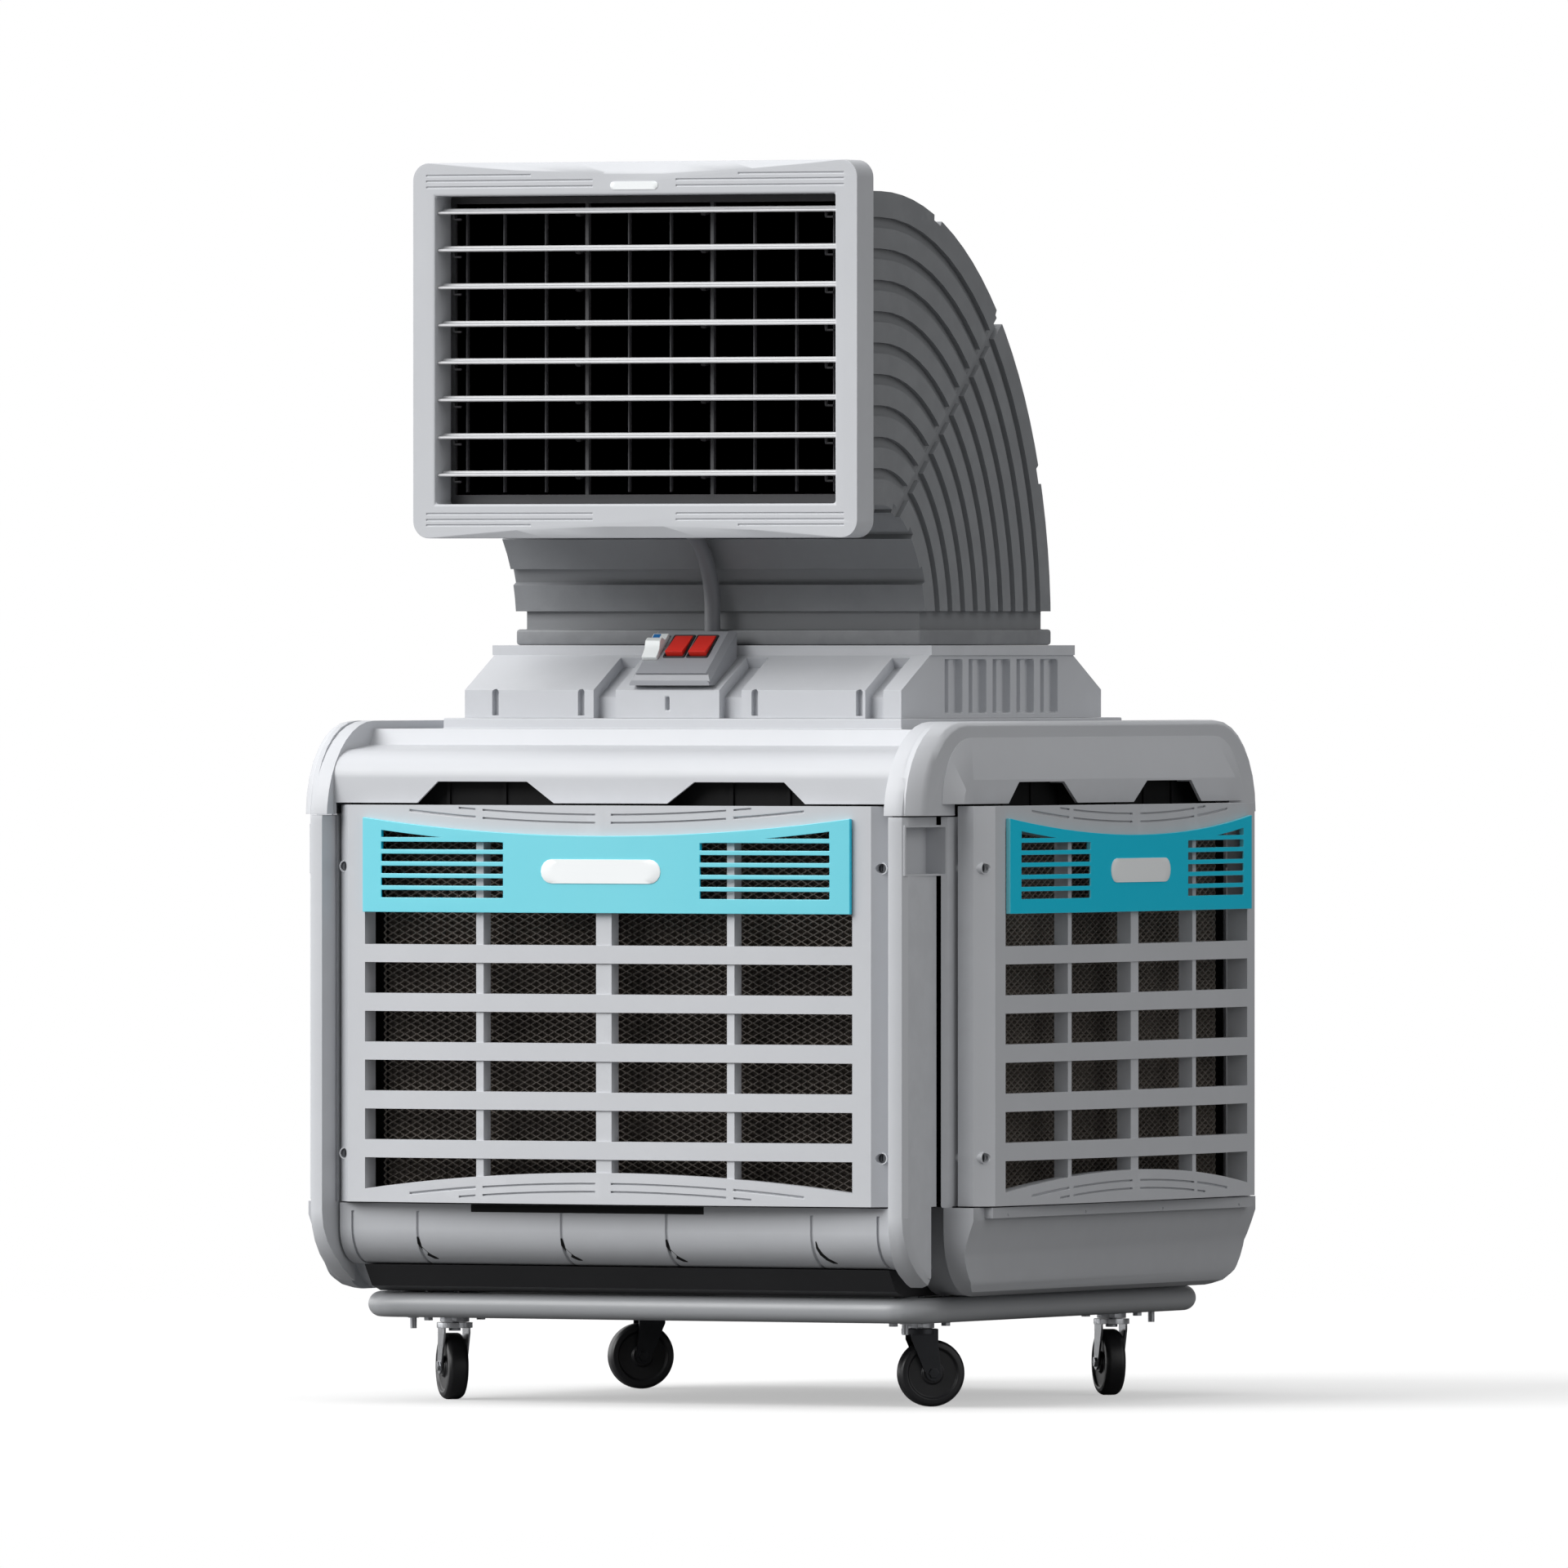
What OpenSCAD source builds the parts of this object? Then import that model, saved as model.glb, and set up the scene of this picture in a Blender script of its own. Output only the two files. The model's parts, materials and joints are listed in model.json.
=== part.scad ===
// Portable evaporative cooler: wheeled cabinet with four pad grilles, a roof
// fan hood, a ribbed duct elbow and a louvred discharge head.
// +Z is up, the front faces -Y, and the origin is on the floor under the centre.

/* [Cabinet] */
// Half width of the cabinet over the side hoops
hoop_x = 500; // [490:2:510]
// Half depth of the cabinet over the hoop fronts
hoop_y = 590; // [586:1:594]
// Height of the hoop tops above the floor
roof_z = 1020; // [1010:1:1030]
// Wall thickness of the mouldings
wall = 4; // [3:0.5:4.5]

/* [Grilles] */
// Distance from the centre to the flat rim of each grille
grille_d = 575; // [570:1:580]
// How far each grille bows outward at its middle
grille_bow = 17; // [0:1:20]
// Number of horizontal slats in each grille
slat_count = 5; // [3:1:5]
// Height of one slat
slat_h = 27; // [20:1:32]

/* [Discharge head] */
// Half width of the discharge head
head_x = 372.5; // [368:0.5:380]
// Front face of the discharge head, measured forward of the centre
head_y = 491; // [490:0.5:494]
// Thickness of a louvre blade
blade_t = 4; // [3:0.5:5]
// Nose-down tilt of the louvre blades at rest
blade_tilt = 9; // [0:1:12]
// Distance between two louvre blades
blade_pitch = 56; // [52:1:57]

/* [Castors] */
// Castor wheel radius
wheel_r = 50; // [46:1:50]
// Castor wheel width
wheel_w = 32; // [24:1:32]
// Distance from swivel axis to axle
caster_trail = 17; // [10:1:20]

/* [Hidden] */
$fn = 48;

body_grey = "#b9bbbf";
duct_grey = "#a5a7ab";
fascia_blue = "#3fc3d8";
steel = "#c4c6c8";
black = "#26262a";

// frame and castors
frame_half = 462;
frame_z = 146;
tube_r = 19;
bend_r = 50;
rail_x = 391;
rail_w = 70;
rail_h = 30;
rail_bottom = frame_z - rail_h/2;
stem_y = 322;
caster_yaw = [131, 40, 131, 220];
caster_side = [[-1, -1], [1, -1], [1, 1], [-1, 1]];
plate_t = 6;
plate_half = [33, 48];
bolt_inset = 9;
tank_bolt = 413;

// cabinet heights
pan_z = 167;
tank_floor = 208;
tank_top = 300;
post_top = 879;
cover_z = 881;
skirt_z = 898;
slab_top = 1024;
corner_y = 170;
corner_z = 120;
hoop_r = 150;
hoop_edge = 15;
post_in = 466;
roll_y = 556;
front_y = 568;

// grilles
grille_half = 462;
open_half = 408;
rim_half = 438;
bevel = 24;
grille_bottom = 302;
grille_top = 895;
slat_bottom = 368.5;
slat_pitch = 72.9;
mullion_u = 210;
mullion_deep = 26;
screw_r = 6.8;
screw_u = 450;
screw_z = [374, 803];
facets = 20;

// fascias
fascia_half = 410;
fascia_bottom = 735;
fascia_mid = 850;
fascia_rise = 27;
fascia_t = 8;

// hood
hood_x = 367;
hood_y = 335;
hood_top_y = 232;
hood_knee = 1066;
hood_lip = 1118;
hood_top = 1133;

// duct elbow, an elliptical quarter turn seen from the side
duct_x = 344.5;
duct_c = [-357, 1156];
duct_in = [146, 186];
duct_out = [567, 653];
duct_wall = 12;
duct_front = -433.5;
duct_base = 1184;
flange_top = 1157;
split_at = [-288, 1342];
split_angle = 40.6;
rib_count = 10;
groove_w = 16;
groove_d = 8.5;

// discharge head
head_back = -434;
arch_deep = 9;
head_z0 = 1293;
head_z1 = 1854;
mouth_x = 335;
mouth_z0 = 1344;
mouth_z1 = 1804;
sleeve_x = 330;
sleeve_z0 = 1355;
sleeve_z1 = 1796;
sleeve_t = 3;
sleeve_y = -441;
blade_y = -464;
blade_chord = 40;
blade_z = 1586;
crank = 16;
vane_y = -418;
vane_chord = 46;
vane_x = [-308, -245, -175, -35, 35, 175, 245, 308];
vane_z0 = 1362;
vane_z1 = 1785;
pin_r = 3;
crank_r = 2;
stay_x = 105;

// control box
box_x = -18;
box_half = 67;
box_chamfer = 12;
panel_foot = [-342, 1087];
panel_head = [-262, 1154];
panel_tilt = atan2(panel_head[1] - panel_foot[1], panel_head[0] - panel_foot[0]);
switch_s = 70;
switch_x = [-48, -10, 29];

// fan
fan_r = 300;
ring_r = 306;
shaft_r = 9;

// water system
pump_at = [370, 370];
main_half = 440;
pipe_r = 8;
pipe_z = 889;
inlet_x = -300;
inlet_z = 278;
float_pivot = [505, 285];
float_len = 95;
drain_x = 300;
drain_z = 236;

function arc(c, r, a0, a1, n) = [for (i = [0:n]) c + r*[cos(a0 + (a1 - a0)*i/n), sin(a0 + (a1 - a0)*i/n)]];
function earc(c, r, a0, a1, n) =
    [for (i = [0:n]) let (a = a0 + (a1 - a0)*i/n) c + [r[0]*cos(a), r[1]*sin(a)]];
function bow(u) = grille_bow*(1 - pow(u/rim_half, 2));
function across(half) = [for (i = [0:facets]) -half + 2*half*i/facets];
function band(half, near, far) = concat(
    [for (u = across(half)) [u, -(grille_d + bow(u) + far)]],
    [for (u = across(half)) [-u, -(grille_d + bow(u) + near)]]);
function rounded(x0, x1, y0, y1, r, n = 6) = concat(
    arc([x1 - r, y0 + r], r, -90, 0, n), arc([x1 - r, y1 - r], r, 0, 90, n),
    arc([x0 + r, y1 - r], r, 90, 180, n), arc([x0 + r, y0 + r], r, 180, 270, n));
function flip(p) = [for (i = [len(p) - 1:-1:0]) [-p[i][0], p[i][1]]];
// inset of the cabinet outline seen from the side, between two heights
function hoop_outline(inset) = let (y = hoop_y - inset, z0 = pan_z + inset, z1 = roof_z - inset) concat(
    earc([y - corner_y + inset, z0 + corner_z - inset], [corner_y - inset, corner_z - inset], -90, 0, 8),
    arc([y - hoop_r + inset, z1 - hoop_r + inset], hoop_r - inset, 0, 90, 10),
    arc([-y + hoop_r - inset, z1 - hoop_r + inset], hoop_r - inset, 90, 180, 10),
    earc([-y + corner_y - inset, z0 + corner_z - inset], [corner_y - inset, corner_z - inset], 180, 270, 8));

// flat-bottomed outline with two rounded top corners
function domed(half, z0, z1, r) = let (side = concat([[half, z0]], arc([half - r, z1 - r], r, 0, 90, 8)))
    concat(side, flip(side));

module yz(x0, x1) {
    translate([x0, 0, 0]) rotate([90, 0, 90]) linear_extrude(x1 - x0) children();
}
module xz(y0, y1) {
    translate([0, y1, 0]) rotate([90, 0, 0]) linear_extrude(y1 - y0) children();
}
module box(lo, hi) {
    translate(lo) cube(hi - lo);
}
module four_corners() {
    for (s = caster_side) mirror([s[0] < 0 ? 1 : 0, 0, 0]) mirror([0, s[1] > 0 ? 1 : 0, 0]) children();
}
module four_sides() {
    for (a = [0:90:270]) rotate([0, 0, a]) children();
}

// ---- frame and castors ----
module frame_ring(r) {
    straight = frame_half - bend_r;
    four_sides() {
        translate([-straight, -frame_half, frame_z]) rotate([0, 90, 0]) cylinder(h = 2*straight, r = r);
        translate([straight, -straight, frame_z]) rotate([0, 0, -90])
            rotate_extrude(angle = 90) translate([bend_r, 0]) circle(r = r);
    }
}
module tube_frame() color(steel) difference() {
    union() {
        frame_ring(tube_r);
        for (s = [-1, 1]) box([s*rail_x - rail_w/2, -frame_half, rail_bottom],
                              [s*rail_x + rail_w/2, frame_half, rail_bottom + rail_h]);
    }
    frame_ring(tube_r - 2);
    for (s = [-1, 1]) box([s*rail_x - rail_w/2 + 3, -frame_half, rail_bottom + 3],
                          [s*rail_x + rail_w/2 - 3, frame_half, rail_bottom + rail_h - 3]);
    four_corners() {
        translate([tank_bolt, -tank_bolt, rail_bottom - 1]) cylinder(h = rail_h + 2, r = 5.3);
        plate_holes(4.2);
    }
}
module plate_holes(r) {
    for (sx = [-1, 1], sy = [-1, 1])
        translate([rail_x + sx*(plate_half[0] - bolt_inset), -stem_y + sy*(plate_half[1] - bolt_inset), 0])
            translate([0, 0, rail_bottom - 12]) cylinder(h = rail_h + 20, r = r);
}
module hex_bolt(r, af, z_head, head, z_end) {
    translate([0, 0, z_head]) cylinder(h = head, r = af/2/cos(30), $fn = 6);
    translate([0, 0, z_head]) cylinder(h = z_end - z_head, r = r);
}
module frame_bolts() color(black) {
    four_corners() {
        translate([tank_bolt, -tank_bolt, 0]) hex_bolt(5, 16, rail_bottom - 6.1, 6, 170);
        translate([tank_bolt, -tank_bolt, 109]) cylinder(h = 20, r = 5);
        for (sx = [-1, 1], sy = [-1, 1])
            translate([rail_x + sx*(plate_half[0] - bolt_inset), -stem_y + sy*(plate_half[1] - bolt_inset), 0])
                hex_bolt(4, 13, rail_bottom - plate_t - 5.4, 5, rail_bottom + rail_h + 6);
    }
}
module caster_plates() color(steel) four_corners() translate([rail_x, -stem_y, 0]) {
    difference() {
        translate([-plate_half[0], -plate_half[1], rail_bottom - plate_t - 0.2])
            cube([2*plate_half[0], 2*plate_half[1], plate_t]);
        translate([-rail_x, stem_y, 0]) plate_holes(4.2);
    }
    translate([0, 0, 117]) cylinder(h = 9, r = 22);
    translate([0, 0, 105]) cylinder(h = 15, r = 6);
    translate([0, 0, 103.5]) cylinder(h = 4, r = 9);
}
module caster_fork(i) {
    s = caster_side[i];
    cheek = wheel_w/2 + 1.5;
    axle_z = wheel_r;
    color(steel) translate([s[0]*rail_x, s[1]*stem_y, 0]) rotate([0, 0, caster_yaw[i]]) {
        difference() {
            union() {
                translate([0, 0, 108]) cylinder(h = 8, r = 27);
                for (m = [-1, 1]) translate([0, m*(cheek + 1.5) + 1.5, 0]) rotate([90, 0, 0])
                    linear_extrude(3) polygon(concat([[-17, 116], [-17, 100]],
                        arc([caster_trail, axle_z], 12, 190, 350, 8), [[24, 92], [24, 116]]));
                box([-17, -cheek - 3, 108], [24, cheek + 3, 111]);
            }
            translate([0, 0, 100]) cylinder(h = 20, r = 6.05);
        }
        translate([caster_trail, 0, axle_z]) rotate([90, 0, 0]) {
            translate([0, 0, -cheek - 5]) cylinder(h = 2*cheek + 10, r = 5);
            for (m = [-1, 1]) translate([0, 0, m*(cheek + 4.5) - 1.5]) cylinder(h = 3, r = 8, $fn = 6);
        }
    }
}
module caster_wheel(i) {
    s = caster_side[i];
    color(black) translate([s[0]*rail_x, s[1]*stem_y, 0]) rotate([0, 0, caster_yaw[i]])
        translate([caster_trail, 0, wheel_r]) rotate([90, 0, 0]) rotate_extrude($fn = 96)
            polygon([[5.05, -wheel_w/2], [15, -wheel_w/2], [17, -wheel_w/2 + 4], [36, -wheel_w/2 + 4],
                [39, -wheel_w/2], [46, -wheel_w/2 + 1], [wheel_r - 1, -wheel_w/2 + 5], [wheel_r, -wheel_w/4],
                [wheel_r, wheel_w/4], [wheel_r - 1, wheel_w/2 - 5], [46, wheel_w/2 - 1], [39, wheel_w/2],
                [36, wheel_w/2 - 4], [17, wheel_w/2 - 4], [15, wheel_w/2], [5.05, wheel_w/2]]);
}

// ---- lower body ----
module base_pan() color(black) difference() {
    yz(-440, 440) polygon([[-520, tank_floor - 0.3], [-496, pan_z + 8], [-470, pan_z], [470, pan_z],
                           [496, pan_z + 8], [520, tank_floor - 0.3]]);
    yz(-436, 436) polygon([[-514, tank_floor + 1], [-492, pan_z + 12], [-468, pan_z + 4], [468, pan_z + 4],
                           [492, pan_z + 12], [514, tank_floor + 1]]);
    four_corners() translate([tank_bolt, -tank_bolt, pan_z - 1]) cylinder(h = 40, r = 20);
}
// side profile of the tank, seen along X
function tank_roll(inset) = let (r = 54 - inset, y = roll_y - inset, z0 = tank_floor + inset) concat(
    [[-y, tank_top + inset]], arc([-y + r, z0 + r], r, 180, 270, 8),
    arc([y - r, z0 + r], r, 270, 360, 8), [[y, tank_top + inset]]);
// half profile of the tray flank below its rail, seen along Y
function flank(t) = [[400, pan_z + t], [514, pan_z + t], [529 - t, pan_z + 7 + t], [538 - t, pan_z + 22],
    [541 - t, 233], [558 - t, 280], [558 - t, tank_top + t], [400, tank_top + t]];
// end view of the flank: its lower corners are rounded
function flank_side(half, t) = let (r = [85 - t, 95 - t], y = half - t,
    low = earc([y - r[0], pan_z + 95], r, 0, -90, 8))
    concat([[y, tank_top + 10]], low, flip(low), [[-y, tank_top + 10]]);
module flank_both(half, t, from) {
    for (m = [0, 1]) mirror([m, 0, 0]) intersection() {
        xz(-half, half) polygon(flank(t));
        yz(from, 700) polygon(flank_side(half, t));
    }
}
module flank_rail() {
    for (m = [0, 1]) mirror([m, 0, 0]) box([550, -440, 284], [572, 440, tank_top]);
}
module tank_seams() {
    for (x = [-440, -330, -88, 88, 330, 440]) intersection() {
        difference() {
            yz(x - 2.2, x + 2.2) polygon(tank_roll(-4));
            yz(x - 3, x + 3) polygon(tank_roll(3.2));
        }
        box([x - 3, -600, tank_floor - 1], [x + 3, 600, tank_top - 12]);
    }
}
module water_tank() color(body_grey) difference() {
    union() {
        yz(-462, 462) polygon(tank_roll(0));
        flank_both(436, 0, 440.5);
        flank_both(476, 0, 508);
        flank_rail();
        four_corners() translate([tank_bolt, -tank_bolt, rail_bottom + rail_h]) cylinder(h = 50, r = 19);
        translate([drain_x, 520, drain_z]) rotate([-90, 0, 0]) cylinder(h = 42, r = 21);
    }
    difference() {
        yz(-458, 458) polygon(tank_roll(wall));
        four_corners() translate([tank_bolt, -tank_bolt, 150]) cylinder(h = 70, r = 19);
        translate([drain_x, 520, drain_z]) rotate([-90, 0, 0]) cylinder(h = 42, r = 21);
    }
    flank_both(436, wall, 450);
    flank_both(476, wall, 508 + wall);
    four_corners() translate([tank_bolt, -tank_bolt, 150]) cylinder(h = 30, r = 5.05);
    translate([drain_x, 500, drain_z]) rotate([-90, 0, 0]) cylinder(h = 70, r = 12.2);
    translate([inlet_x, roll_y - 10, inlet_z]) rotate([-90, 0, 0]) cylinder(h = 20, r = 10.7);
    tank_seams();
    for (m = [0, 1], y = [-390, -130, 130, 390]) mirror([m, 0, 0])
        translate([570, y, 288]) rotate([0, 90, 0]) cylinder(h = 5, r = 2.5);
}
module drain_plug() color(black) translate([drain_x, 0, drain_z]) rotate([-90, 0, 0]) {
    translate([0, 0, 535]) cylinder(h = 30, r = 12.1);
    translate([0, 0, 562.2]) cylinder(h = 12, r = 19);
    translate([-3, -14, 574]) cube([6, 28, 8]);
}

// ---- corner posts ----
function post_plan(t) = concat(
    [[post_in + t, -500], [post_in + t, -553 + t/2], [474 + t, -hoop_y + t]],
    arc([hoop_x - 13, -hoop_y + 13], 13 - t, -90, -8, 5),
    [[503 - t, -480 - t], [513 - t, -472 - t/2], [520 - t, -452 - t/2],
        [520 - t, -440], [post_in + t, -440]]);
module post_shell() {
    translate([0, 0, 100]) linear_extrude(post_top - 100) polygon(post_plan(0));
}
module post_hollow() {
    intersection() {
        translate([0, 0, 100]) linear_extrude(post_top - 100) polygon(post_plan(wall));
        yz(440, 560) polygon(hoop_outline(wall + 7));
    }
}
// hoop outline with its outer edge rolled off, behind the rounded face
module rolled_hoop(edge) {
    hull() {
        yz(440, hoop_x - edge) polygon(hoop_outline(0));
        yz(440, hoop_x - edge*0.35) polygon(hoop_outline(edge*0.25));
        yz(440, hoop_x) polygon(hoop_outline(edge));
    }
}
module hand_pocket(t) {
    intersection() {
        box([478 - t, -581 - t, 795 - t], [515, -474 + t, 864 + t]);
        translate([0, 0, 100]) linear_extrude(800) polygon(post_plan(0));
    }
}
module corner_post() {
    lug_z = 12;
    difference() {
        union() {
            difference() {
                intersection() {
                    post_shell();
                    union() {
                        rolled_hoop(hoop_edge);
                        box([480, -478, tank_top + 0.2], [560, -400, 900]);
                    }
                }
                post_hollow();
                box([400, -560, tank_top + 2], [post_in + wall + 0.01, -440, 900]);
                box([440, -466.5, tank_top + 2], [506, -400, 900]);
                box([440, -500, 100], [506, -400, tank_top + 2]);
                box([440, -463, 100], [560, -400, tank_top + 2]);
            }
            box([post_in, -553, 262], [post_in + wall, -500, post_top]);
            box([442, -508, tank_top + 4], [post_in + wall, -504, post_top]);
            hand_pocket(3);
            for (z = screw_z) {
                translate([screw_u, -550, z]) rotate([-90, 0, 0]) cylinder(h = 44, r = 6);
                translate([508, -screw_u, z]) rotate([0, 90, 0]) cylinder(h = 42, r = 6);
                box([506, -screw_u - 16, z - lug_z], [510, -screw_u + 10, z + lug_z]);
            }
        }
        intersection() {
            hand_pocket(0);
            box([478, -600, 700], [600, -400, 900]);
        }
        for (z = screw_z) {
            translate([screw_u, -560, z]) rotate([-90, 0, 0]) cylinder(h = 44, r = 2.5);
            translate([516, -screw_u, z]) rotate([0, 90, 0]) cylinder(h = 44, r = 2.5);
        }
    }
}
module corner_posts() color(body_grey) four_corners() corner_post();

// ---- top cover ----
// side profile of the roof between the hoops, seen along X
function roof_half(t) = concat([[front_y - t, cover_z - 1], [front_y - t, 935]],
    earc([509, 935], [59 - t, 43 - t], 0, 90, 8), [[452, 984 - t], [440, 1008 - t]]);
function roof_profile(t) = concat(roof_half(t), flip(roof_half(t)));
module hoop_cap() {
    edge = hoop_edge;
    for (m = [0, 1]) mirror([m, 0, 0]) intersection() {
        hull() {
            yz(post_in, hoop_x - edge) polygon(hoop_outline(0));
            yz(hoop_x - edge, hoop_x - edge*0.35) polygon(hoop_outline(edge*0.25));
            yz(hoop_x - edge, hoop_x) polygon(hoop_outline(edge));
        }
        box([400, -700, cover_z], [600, 700, 1100]);
    }
}
module side_bulge() {
    for (m = [0, 1]) mirror([m, 0, 0]) {
        hull() {
            yz(490, hoop_x - 2) polygon(domed(582, cover_z, roof_z, 134));
            yz(490, 514) polygon(domed(566, cover_z, roof_z - 1, 136));
            yz(490, 520) polygon(domed(550, cover_z, roof_z - 6, 128));
        }
        hull() {
            yz(500, 521) polygon(domed(505, skirt_z, 996, 94));
            yz(500, 541) polygon(domed(472, skirt_z, 934, 34));
        }
    }
}
function vent(s) = [[s*92, skirt_z - 2], [s*327, skirt_z - 2], [s*290, 930], [s*140, 930]];
module top_cover() color(body_grey) difference() {
    union() {
        intersection() {
            yz(-post_in, post_in) polygon(roof_profile(0));
            box([-500, -700, cover_z], [500, 700, 1100]);
        }
        hoop_cap();
        side_bulge();
        box([-385, -370, 1000], [385, 370, slab_top]);
    }
    yz(-post_in + 4, post_in - 4) polygon(roof_profile(wall));
    for (m = [0, 1]) mirror([m, 0, 0]) {
        intersection() {
            yz(460, 487) polygon(roof_profile(wall));
            box([450, -700, 800], [600, 700, 1000]);
        }
        box([480, -468, 800], [516, 468, 965]);
        box([510, -462, 800], [536, 462, 928]);
    }
    box([-463, -600, 800], [463, -500, skirt_z]);
    box([-463, 500, 800], [463, 600, skirt_z]);
    for (s = [-1, 1]) {
        xz(-600, -540) polygon(vent(s));
        xz(540, 600) polygon(vent(s));
        yz(-600, -512) polygon(vent(s));
        yz(512, 600) polygon(vent(s));
    }
    translate([0, 0, 900]) cylinder(h = 200, r = ring_r + 8, $fn = 96);
}

// ---- grilles and fascias ----
module jamb() {
    linear_extrude(grille_top - grille_bottom) polygon([
        [open_half, -(grille_d + bow(open_half))], [rim_half, -grille_d], [grille_half, -(grille_d - bevel)],
        [grille_half, -(grille_d - 50)], [grille_half - wall, -(grille_d - 50)],
        [grille_half - wall, -(grille_d - bevel - 1.7)], [rim_half - 1.7, -(grille_d - wall)],
        [open_half + wall, -(grille_d - wall)], [open_half + wall, -(grille_d - 32)],
        [open_half, -(grille_d - 32)]]);
}
module screw_boss(z) {
    translate([screw_u, -(grille_d - 12), z]) rotate([-90, 0, 0]) cylinder(h = 12.5, r = screw_r + 2.2);
}
function arch_top(u) = 322 + 27*(1 - pow(u/open_half, 2));
function sag_edge(u) = fascia_mid + fascia_rise*pow(u/fascia_half, 2);
// height of a groove that follows the upper or the lower arch
function groove_z(upper, u, off) = upper ? sag_edge(u) + off : arch_top(u) - off;
module arc_groove(upper, off, half) {
    steps = 16;
    difference() {
        xz(-700, -500) polygon(concat(
            [for (j = [0:steps]) let (u = -half + 2*half*j/steps) [u, groove_z(upper, u, off)]],
            [for (j = [steps:-1:0]) let (u = -half + 2*half*j/steps) [u, groove_z(upper, u, off) + 2.8]]));
        for (u = [-mullion_u, 0, mullion_u]) let (w = u == 0 ? 13 : 6)
            box([u - w, -800, 200], [u + w, -400, 1000]);
    }
}
module grille() color(body_grey) {
    difference() {
        union() {
            translate([0, 0, grille_bottom]) {
                jamb();
                mirror([1, 0, 0]) jamb();
            }
            for (i = [0:slat_count - 1]) translate([0, 0, slat_bottom + slat_pitch*i])
                linear_extrude(slat_h) polygon(band(open_half, -22, 0));
            intersection() {
                translate([0, 0, grille_bottom]) linear_extrude(100) polygon(band(open_half, -22, 0));
                xz(-700, -500) polygon(concat([[open_half, 300], [-open_half, 300]],
                    [for (u = across(open_half)) [u, arch_top(u)]]));
            }
            intersection() {
                translate([0, 0, 800]) linear_extrude(grille_top - 800) polygon(band(open_half, -22, 0));
                xz(-700, -500) polygon(concat([[open_half, 900], [-open_half, 900]],
                    [for (u = across(open_half)) [u, sag_edge(u) - 14]]));
            }
            for (u = [-mullion_u, 0, mullion_u]) let (w = u == 0 ? 26 : 12.5)
                box([u - w/2, -(grille_d + bow(u) - 3), grille_bottom + 10],
                    [u + w/2, -(grille_d + bow(u) - mullion_deep), grille_top - 12]);
            for (m = [0, 1], z = screw_z) mirror([m, 0, 0]) screw_boss(z);
        }
        for (m = [0, 1], z = screw_z) mirror([m, 0, 0]) translate([screw_u, -600, z]) rotate([-90, 0, 0]) {
            cylinder(h = 60, r = 2.7);
            cylinder(h = 44, r = screw_r + 0.4);
        }
        intersection() {
            translate([0, 0, 300]) linear_extrude(600) polygon(band(open_half, -4, 5));
            union() {
                for (g = [[18, 330], [30, 245]]) {
                    arc_groove(true, g[0], g[1]);
                    arc_groove(false, g[0] - 0.6, g[1]);
                }
            }
        }
    }
}
module louvre_rows() {
    intersection() {
        for (s = [-1, 1], i = [0:5]) translate([s*270 - 105, 757 + 18*i]) square([210, 11]);
        polygon(concat([[fascia_half, 700], [-fascia_half, 700]],
            [for (u = across(fascia_half)) [u, sag_edge(u) - 15]]));
    }
}
module fascia() {
    difference() {
        translate([0, 0, fascia_bottom]) linear_extrude(160) polygon(band(open_half, 0.3, fascia_t));
        translate([0, 0, fascia_bottom + 4]) linear_extrude(fascia_mid - fascia_bottom - 30)
            polygon(band(open_half - 6, -1, fascia_t - 3.5));
        xz(-700, -500) polygon(concat([[fascia_half + 5, 950], [-fascia_half - 5, 950]],
            [for (u = across(fascia_half + 5)) [u, sag_edge(u)]]));
        xz(-700, -500) louvre_rows();
    }
}
module fascia_panels() color(fascia_blue) four_sides() fascia();
module grille_screws() color("#3a3a3c") four_sides()
    for (m = [0, 1], z = screw_z) mirror([m, 0, 0]) translate([screw_u, 0, z]) rotate([-90, 0, 0])
        difference() {
            union() {
                translate([0, 0, -558]) cylinder(h = 34, r = 2.45);
                translate([0, 0, -559.8]) cylinder(h = 3.7, r = screw_r);
            }
            translate([-0.9, -5, -560]) cube([1.8, 10, 1.7]);
        }
module cooling_pads() color("#4a4644") four_sides() box([-405, -527, grille_bottom + 6], [405, -428, 872]);

// ---- fan hood ----
function hood_profile(t) = [[-hood_y + t, slab_top - t], [-hood_y + t, hood_knee - t/2],
    [-hood_top_y - 8 + t, hood_lip - t/2], [-hood_top_y - 8 + t, hood_top - t],
    [hood_top_y + 8 - t, hood_top - t],
    [hood_top_y + 8 - t, hood_lip - t/2], [hood_y - t, hood_knee - t/2], [hood_y - t, slab_top - t]];
module hood_channel(x, half) {
    slope = atan2(hood_lip - hood_knee, hood_y - hood_top_y - 8);
    run = 101;
    depth = 18;
    inner = [depth*sin(slope) - hood_y, hood_knee - depth*cos(slope)];
    yz(x - half, x + half) polygon([
        [-hood_y - 1, slab_top - 1], [depth - hood_y, slab_top - 1],
        [depth - hood_y, inner[1] + (depth - hood_y - inner[0])*tan(slope)],
        inner + run*[cos(slope), sin(slope)],
        [-hood_y, hood_knee] + run*[cos(slope), sin(slope)] + 3*[-sin(slope), cos(slope)],
        [-hood_y - 1, hood_knee + 3]]);
}
module hood_front_cuts() {
    for (c = [[-130.5, 18.5], [81, 18.5], [322, 15]]) hood_channel(c[0], c[1]);
    for (x = [-315, -170, 122, 297]) translate([x, -hood_y - 1, 1028]) {
        translate([-5.5, 0, 0]) cube([11, 11, 34]);
        translate([0, 0, 34]) rotate([-90, 0, 0]) cylinder(h = 11, r = 5.5);
    }
    translate([box_x - 7 - 3, -hood_y - 1, 1036]) cube([6, 11, 20]);
}
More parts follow.
